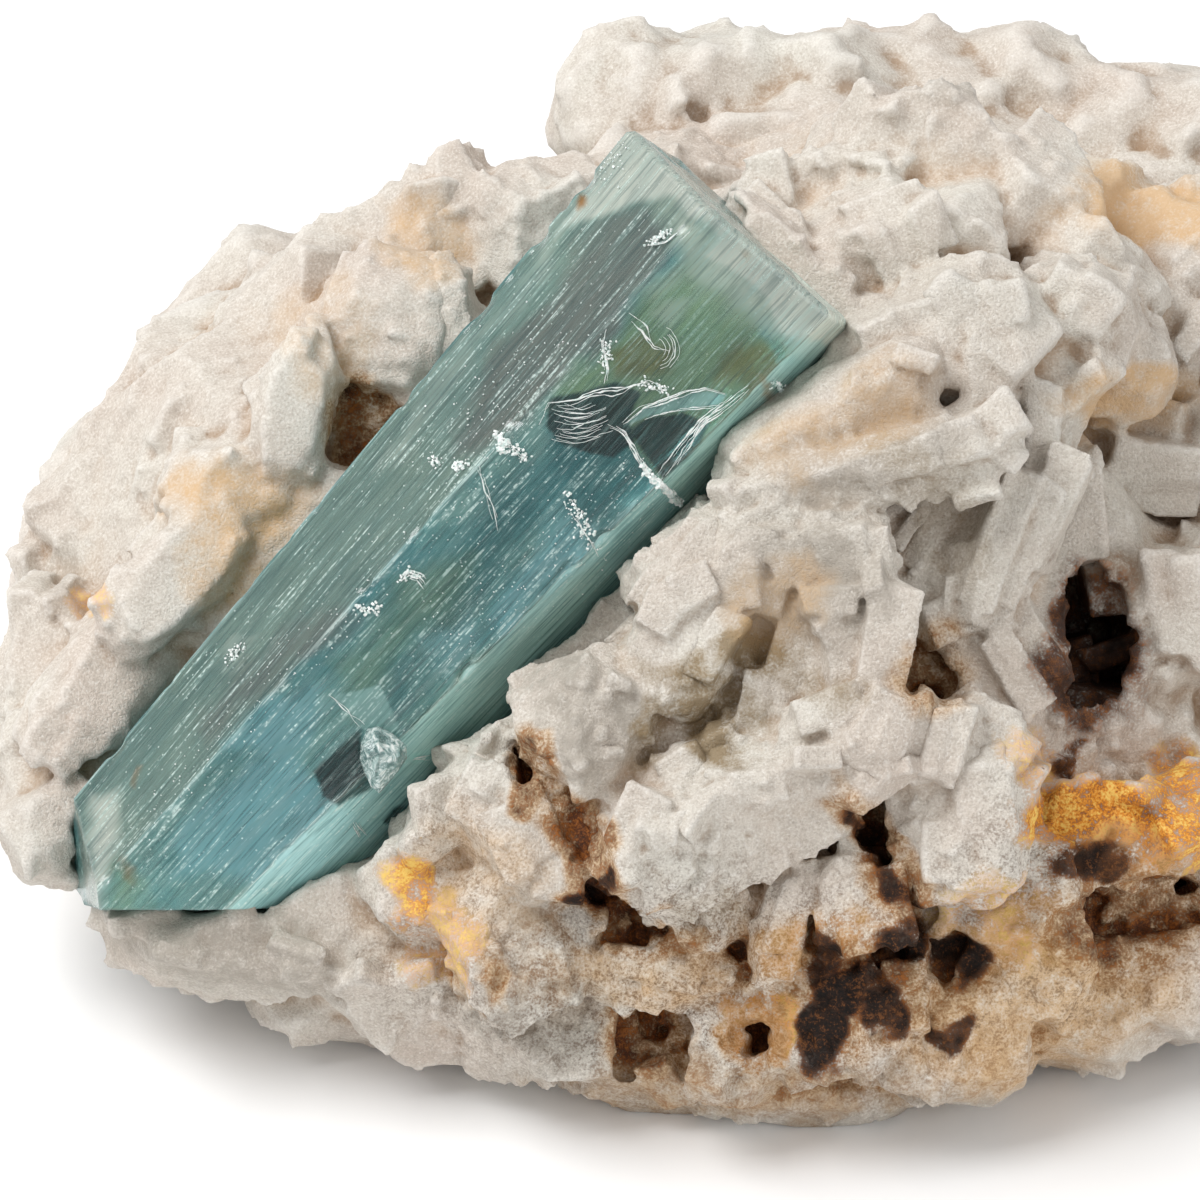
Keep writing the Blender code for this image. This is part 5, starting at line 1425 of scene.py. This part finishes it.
def thread(path, spread, half_width, front, dice, share):
    """A thin closed rod that follows a path laid on the prism. It is a four-sided section, flat on the prism
    and tapered to both ends, carried along the path; the path is pushed sideways by smooth noise, and its
    width swells and shrinks."""
    path = np.asarray(path, float)
    whole = run_of(path)[-1]
    start, stop = np.sort(dice.uniform(0, 1, 2)) * 0.3 + (0, 0.7)
    count = max(6, int((stop - start) * whole / THREAD_STEP))
    at = np.linspace(start, stop, count) * whole
    middle = spots_on(path, at)
    way = np.gradient(middle, axis=0)
    way /= np.maximum(np.linalg.norm(way, axis=1, keepdims=True), 1e-9)
    beside = np.stack((-way[:, 1], way[:, 0]), axis=1)
    line = np.stack((at, np.full(count, dice.uniform(0, 50)), np.zeros(count)), axis=1)
    aside = spread * (noise(line, 1.3, 81) + dice.uniform(-0.8, 0.8)) + 0.05 * noise(line, 0.3, 82)
    middle = middle + beside * aside[:, None]
    taper = 0.2 + 0.8 * np.sin(np.pi * np.linspace(0, 1, count))
    width = np.maximum(share * half_width * taper * (1 + 1.3 * noise(line, 0.4, 83)), THINNEST)
    height, good = front.out(middle)
    if not good.all():
        return None
    height = np.convolve(np.pad(height, 2, mode="edge"), np.full(5, 0.2), mode="valid") + 0.03
    spine = np.column_stack((middle, height))
    sideways = np.column_stack((beside, np.zeros(count))) * width[:, None]
    lift = TOWARDS[None] * (width * 0.6 + 0.02)[:, None]
    return np.stack((spine + sideways, spine + lift, spine - sideways, spine - lift), axis=1).reshape(-1, 3)


def rods_mesh(name, rods):
    """Closed four-sided rods as one mesh."""
    faces, start = [], 0
    for rod in rods:
        last = len(rod) - 4
        ends = np.array([(3, 2, 1, 0), (last, last + 1, last + 2, last + 3)])
        faces.append(np.concatenate((closed_grid_faces(len(rod) // 4, 4), ends)) + start)
        start += len(rod)
    return mended(mesh_from(name, to_metres(np.concatenate(rods)), np.concatenate(faces)), merge=False)


def grains_mesh(name, front, dice):
    """Closed grains strewn round the crusts' paths and half sunk in the prism, as one mesh."""
    corners = []
    for count, spread, size, path in CRUSTS:
        path = np.asarray(path, float)
        spots = spots_on(path, dice.uniform(0, run_of(path)[-1], count))
        spots = spots + dice.normal(size=(count, 2)) * spread * 0.5
        height, good = front.out(spots)
        places = np.column_stack((spots, height))[good]
        count = len(places)
        halves = size * dice.uniform(0.35, 1.2, (count, 1)) * dice.uniform(0.5, 1.2, (count, 3))
        corners.append(box_corners(places, random_turns(count, dice), halves, dice))
    points, faces = box_mesh(np.concatenate(corners))
    return mesh_from(name, to_metres(points), faces, smooth=False)


def crack_paths(dice):
    """Every thread's path, spread and half width: the table's, the stack's bows and the shell's arcs."""
    found = []
    for threads, spread, width, path in CRACKS:
        found += [(path, spread, width)] * threads
    (left, low), (right, high), count = STACKED_CRACKS
    part = np.linspace(0, 1, 12)
    for k in range(count * 2):
        level = (k % count) / (count - 1)
        bow = -0.38 * np.sin(np.pi * part) + 0.22 * part
        first = left + dice.uniform(0, 0.8) + 0.4 * level
        last = min(first + dice.uniform(2.2, 3.6), right)
        up = low + (high - low) * level + bow + 0.05 * (k // count)
        found.append((np.stack((first + (last - first) * part, up), 1), 0.03, dice.uniform(0.018, 0.036)))
    middle, (small, large), count = SHELL_CRACKS
    angle = np.radians(np.linspace(-80, 75, 16))
    for radius in np.linspace(small, large, count):
        arc = np.array(middle) + radius * np.stack((np.cos(angle), np.sin(angle)), axis=1)
        found.append((arc, 0.03, 0.03))
    return found


def healed_crack_material():
    """Crushed beryl along a crack: white, a little see-through, with specks of 0.15 mm."""
    material, tree, shader = new_material("healed_crack")
    where = add_node(tree, "ShaderNodeTexCoord").outputs["Object"]
    specks = add_node(tree, "ShaderNodeTexNoise", {"Vector": where, "Scale": 1 / (0.15 * MM), "Detail": 2.0})
    colour = add_node(tree, "ShaderNodeValToRGB", {0: specks}, [(0.3, "#C4DDD7"), (0.55, "#FAFCFA")])
    connect(tree, shader, {
        "Base Color": colour, "Roughness": 0.35, "IOR": 1.577, "Transmission Weight": 0.1})
    return material


class SPECIMEN_OT_cracks(bpy.types.Operator):
    """Lay the healed cracks and white crusts on the front of the prism"""

    bl_idname = "specimen.cracks"
    bl_label = "Healed cracks"

    def execute(self, context):
        dice = np.random.default_rng(SEED + 2)
        front = Front(to_face(points_of(bpy.data.objects["aquamarine_prism"].data)))
        share = context.scene.specimen_prism.crack_width
        rods = [thread(*line, front, dice, share) for line in crack_paths(dice)]
        material = healed_crack_material()
        cracks = rods_mesh("healed_cracks", [rod for rod in rods if rod is not None])
        place_piece(cracks, material, "aquamarine")
        place_piece(grains_mesh("white_crust", front, dice), material, "aquamarine")
        return {"FINISHED"}


# --- quartz chip ----------------------------------------------------------------------------------------

# The chip's outline (right, up) and its middle, its rings as (scale, out, how uneven) and its two ends.
CHIP_OUTLINE = np.array([
    (-12.98, -7.7), (-12.6, -6.95), (-12.1, -6.82), (-11.5, -7.1), (-11.0, -7.4), (-10.5, -7.92),
    (-10.48, -8.6), (-10.95, -9.3), (-11.39, -9.85), (-11.95, -10.5), (-12.4, -10.15), (-12.8, -9.4),
    (-13.05, -8.6)])
CHIP_MIDDLE = np.array((-11.75, -8.5))
CHIP_RINGS = [(0.55, 4.5, 0.0), (1.0, 5.2, 0.0), (0.97, 5.75, 0.04), (0.74, 6.3, 0.12), (0.42, 6.62, 0.14)]
CHIP_ENDS = [(-11.75, -8.5, 4.4), (-11.9, -8.35, 6.72)]


def milky_quartz_material():
    """Quartz: clear to milky, with white feathers about 0.5 mm wide inside."""
    material, tree, shader = new_material("milky_quartz")
    where = add_node(tree, "ShaderNodeTexCoord").outputs["Object"]
    feathers = add_node(tree, "ShaderNodeTexNoise", {
        "Vector": where, "Scale": 1 / (0.5 * MM), "Detail": 4.0, "Roughness": 0.65, "Distortion": 1.2})
    colour = add_node(tree, "ShaderNodeValToRGB", {0: feathers}, [
        (0.35, "#8FB4B2"), (0.5, "#C3D9D5"), (0.62, "#F4F8F5")])
    clear = add_node(tree, "ShaderNodeMapRange", {
        "Value": feathers, "From Min": 0.35, "From Max": 0.65, "To Min": 0.8, "To Max": 0.25})
    bump = add_node(tree, "ShaderNodeBump", {"Height": feathers, "Strength": 0.4, "Distance": 0.08 * MM})
    connect(tree, shader, {
        "Base Color": colour, "Transmission Weight": clear, "Roughness": 0.12, "IOR": 1.544, "Normal": bump})
    return material


class SPECIMEN_OT_chip(bpy.types.Operator):
    """Make the small quartz crystal that sits on the prism"""

    bl_idname = "specimen.chip"
    bl_label = "Quartz chip"

    def execute(self, context):
        dice = np.random.default_rng(SEED + 3)
        around = len(CHIP_OUTLINE)
        rings = []
        for scale, out, uneven in CHIP_RINGS:
            ring = CHIP_MIDDLE + (CHIP_OUTLINE - CHIP_MIDDLE) * scale
            ring = ring + dice.uniform(-uneven, uneven, ring.shape)
            rings.append(np.column_stack((ring, out + dice.uniform(-uneven, uneven, around))))
        points = to_metres(np.concatenate((*rings, CHIP_ENDS)))
        mesh = mesh_from("quartz_shard", points, capped_grid_faces(len(rings), around), smooth=False)
        place_piece(mended(mesh, merge=False), milky_quartz_material(), "quartz", "quartz_chip")
        return {"FINISHED"}


# --- stage ----------------------------------------------------------------------------------------------

VIEW_DISTANCE = 0.4  # from the heart of the rock to the camera, in metres
SENSOR = 36.0
FLOOR_HALF = 1.6  # half of the floor's side, in metres
FLOOR_GAP = 0.00002  # how far the floor is under the base, in metres
WORLD_STRENGTH = 0.58
LAMP_SIZE = (0.5, 0.4)  # in metres
# The lamps' places from the heart of the rock, in metres.
SOFTBOX = (-0.34, -0.04, 0.58)
FILL = (0.45, -0.40, 0.25)


def aimed(name, data, place, target):
    """A new lamp or camera at a place, turned to a target."""
    thing = linked(name, data)
    thing.location = place
    thing.rotation_mode = "QUATERNION"
    thing.rotation_quaternion = (target - place).to_track_quat("-Z", "Y")
    return thing


class SPECIMEN_OT_stage(bpy.types.Operator):
    """Set up the floor, the soft light and the camera"""

    bl_idname = "specimen.stage"
    bl_label = "Stage"

    def execute(self, context):
        scene = context.scene
        look = scene.specimen_studio
        scene.view_settings.view_transform = "Standard"
        corners = np.array([(x * FLOOR_HALF, y * FLOOR_HALF, -FLOOR_GAP)
                            for x, y in ((-1, -1), (1, -1), (1, 1), (-1, 1))])
        mesh = mesh_from("floor", corners, np.array([(0, 1, 2, 3)]), smooth=False)
        material, tree, shader = new_material("matt_white_card")
        connect(tree, shader, {"Base Color": look.floor, "Roughness": 0.9})
        mesh.materials.append(material)
        linked("floor", mesh)

        world = bpy.data.worlds.new("studio")
        world.use_nodes = True
        background = world.node_tree.nodes["Background"]
        connect(world.node_tree, background, {"Color": "#FFFFFF", "Strength": WORLD_STRENGTH})
        scene.world = world

        middle = Vector(to_metres((0, 0, 0)))
        for name, place, power in (("softbox", SOFTBOX, look.softbox), ("fill", FILL, look.fill)):
            light = bpy.data.lights.new(name, "AREA")
            light.shape = "RECTANGLE"
            light.size, light.size_y = LAMP_SIZE
            light.energy = power
            aimed(name, light, middle + Vector(place), middle)

        camera = bpy.data.cameras.new("camera")
        camera.sensor_width = SENSOR
        camera.lens = SENSOR * VIEW_DISTANCE / look.view
        camera.clip_start = 0.01
        camera.clip_end = 5.0
        scene.camera = aimed("camera", camera, middle + Vector(OUT) * VIEW_DISTANCE, middle)
        return {"FINISHED"}


class SPECIMEN_PT_panel(bpy.types.Panel):
    """Lists the pieces of the specimen"""

    bl_idname = "SPECIMEN_PT_panel"
    bl_label = "Aquamarine specimen"
    bl_space_type = "VIEW_3D"
    bl_region_type = "UI"
    bl_category = "Specimen"

    def draw(self, context):
        for step in STEPS:
            self.layout.operator(step.bl_idname)
        for place, group in SETTINGS.items():
            box = self.layout.box()
            for name in group.__annotations__:
                box.prop(getattr(context.scene, place), name)


STEPS = (SPECIMEN_OT_albite, SPECIMEN_OT_aquamarine, SPECIMEN_OT_cracks, SPECIMEN_OT_chip, SPECIMEN_OT_stage)
SETTINGS = {"specimen_rock": SPECIMEN_PG_rock, "specimen_prism": SPECIMEN_PG_prism,
            "specimen_studio": SPECIMEN_PG_studio}
CLASSES = (*SETTINGS.values(), *STEPS, SPECIMEN_PT_panel)


def register():
    for cls in CLASSES:
        bpy.utils.register_class(cls)
    for place, group in SETTINGS.items():
        setattr(bpy.types.Scene, place, PointerProperty(type=group))


def unregister():
    for place in SETTINGS:
        delattr(bpy.types.Scene, place)
    for cls in reversed(CLASSES):
        bpy.utils.unregister_class(cls)


def main():
    register()
    bpy.ops.specimen.albite()
    bpy.ops.specimen.aquamarine()
    bpy.ops.specimen.cracks()
    bpy.ops.specimen.chip()
    bpy.ops.specimen.stage()


if __name__ == "__main__":
    main()
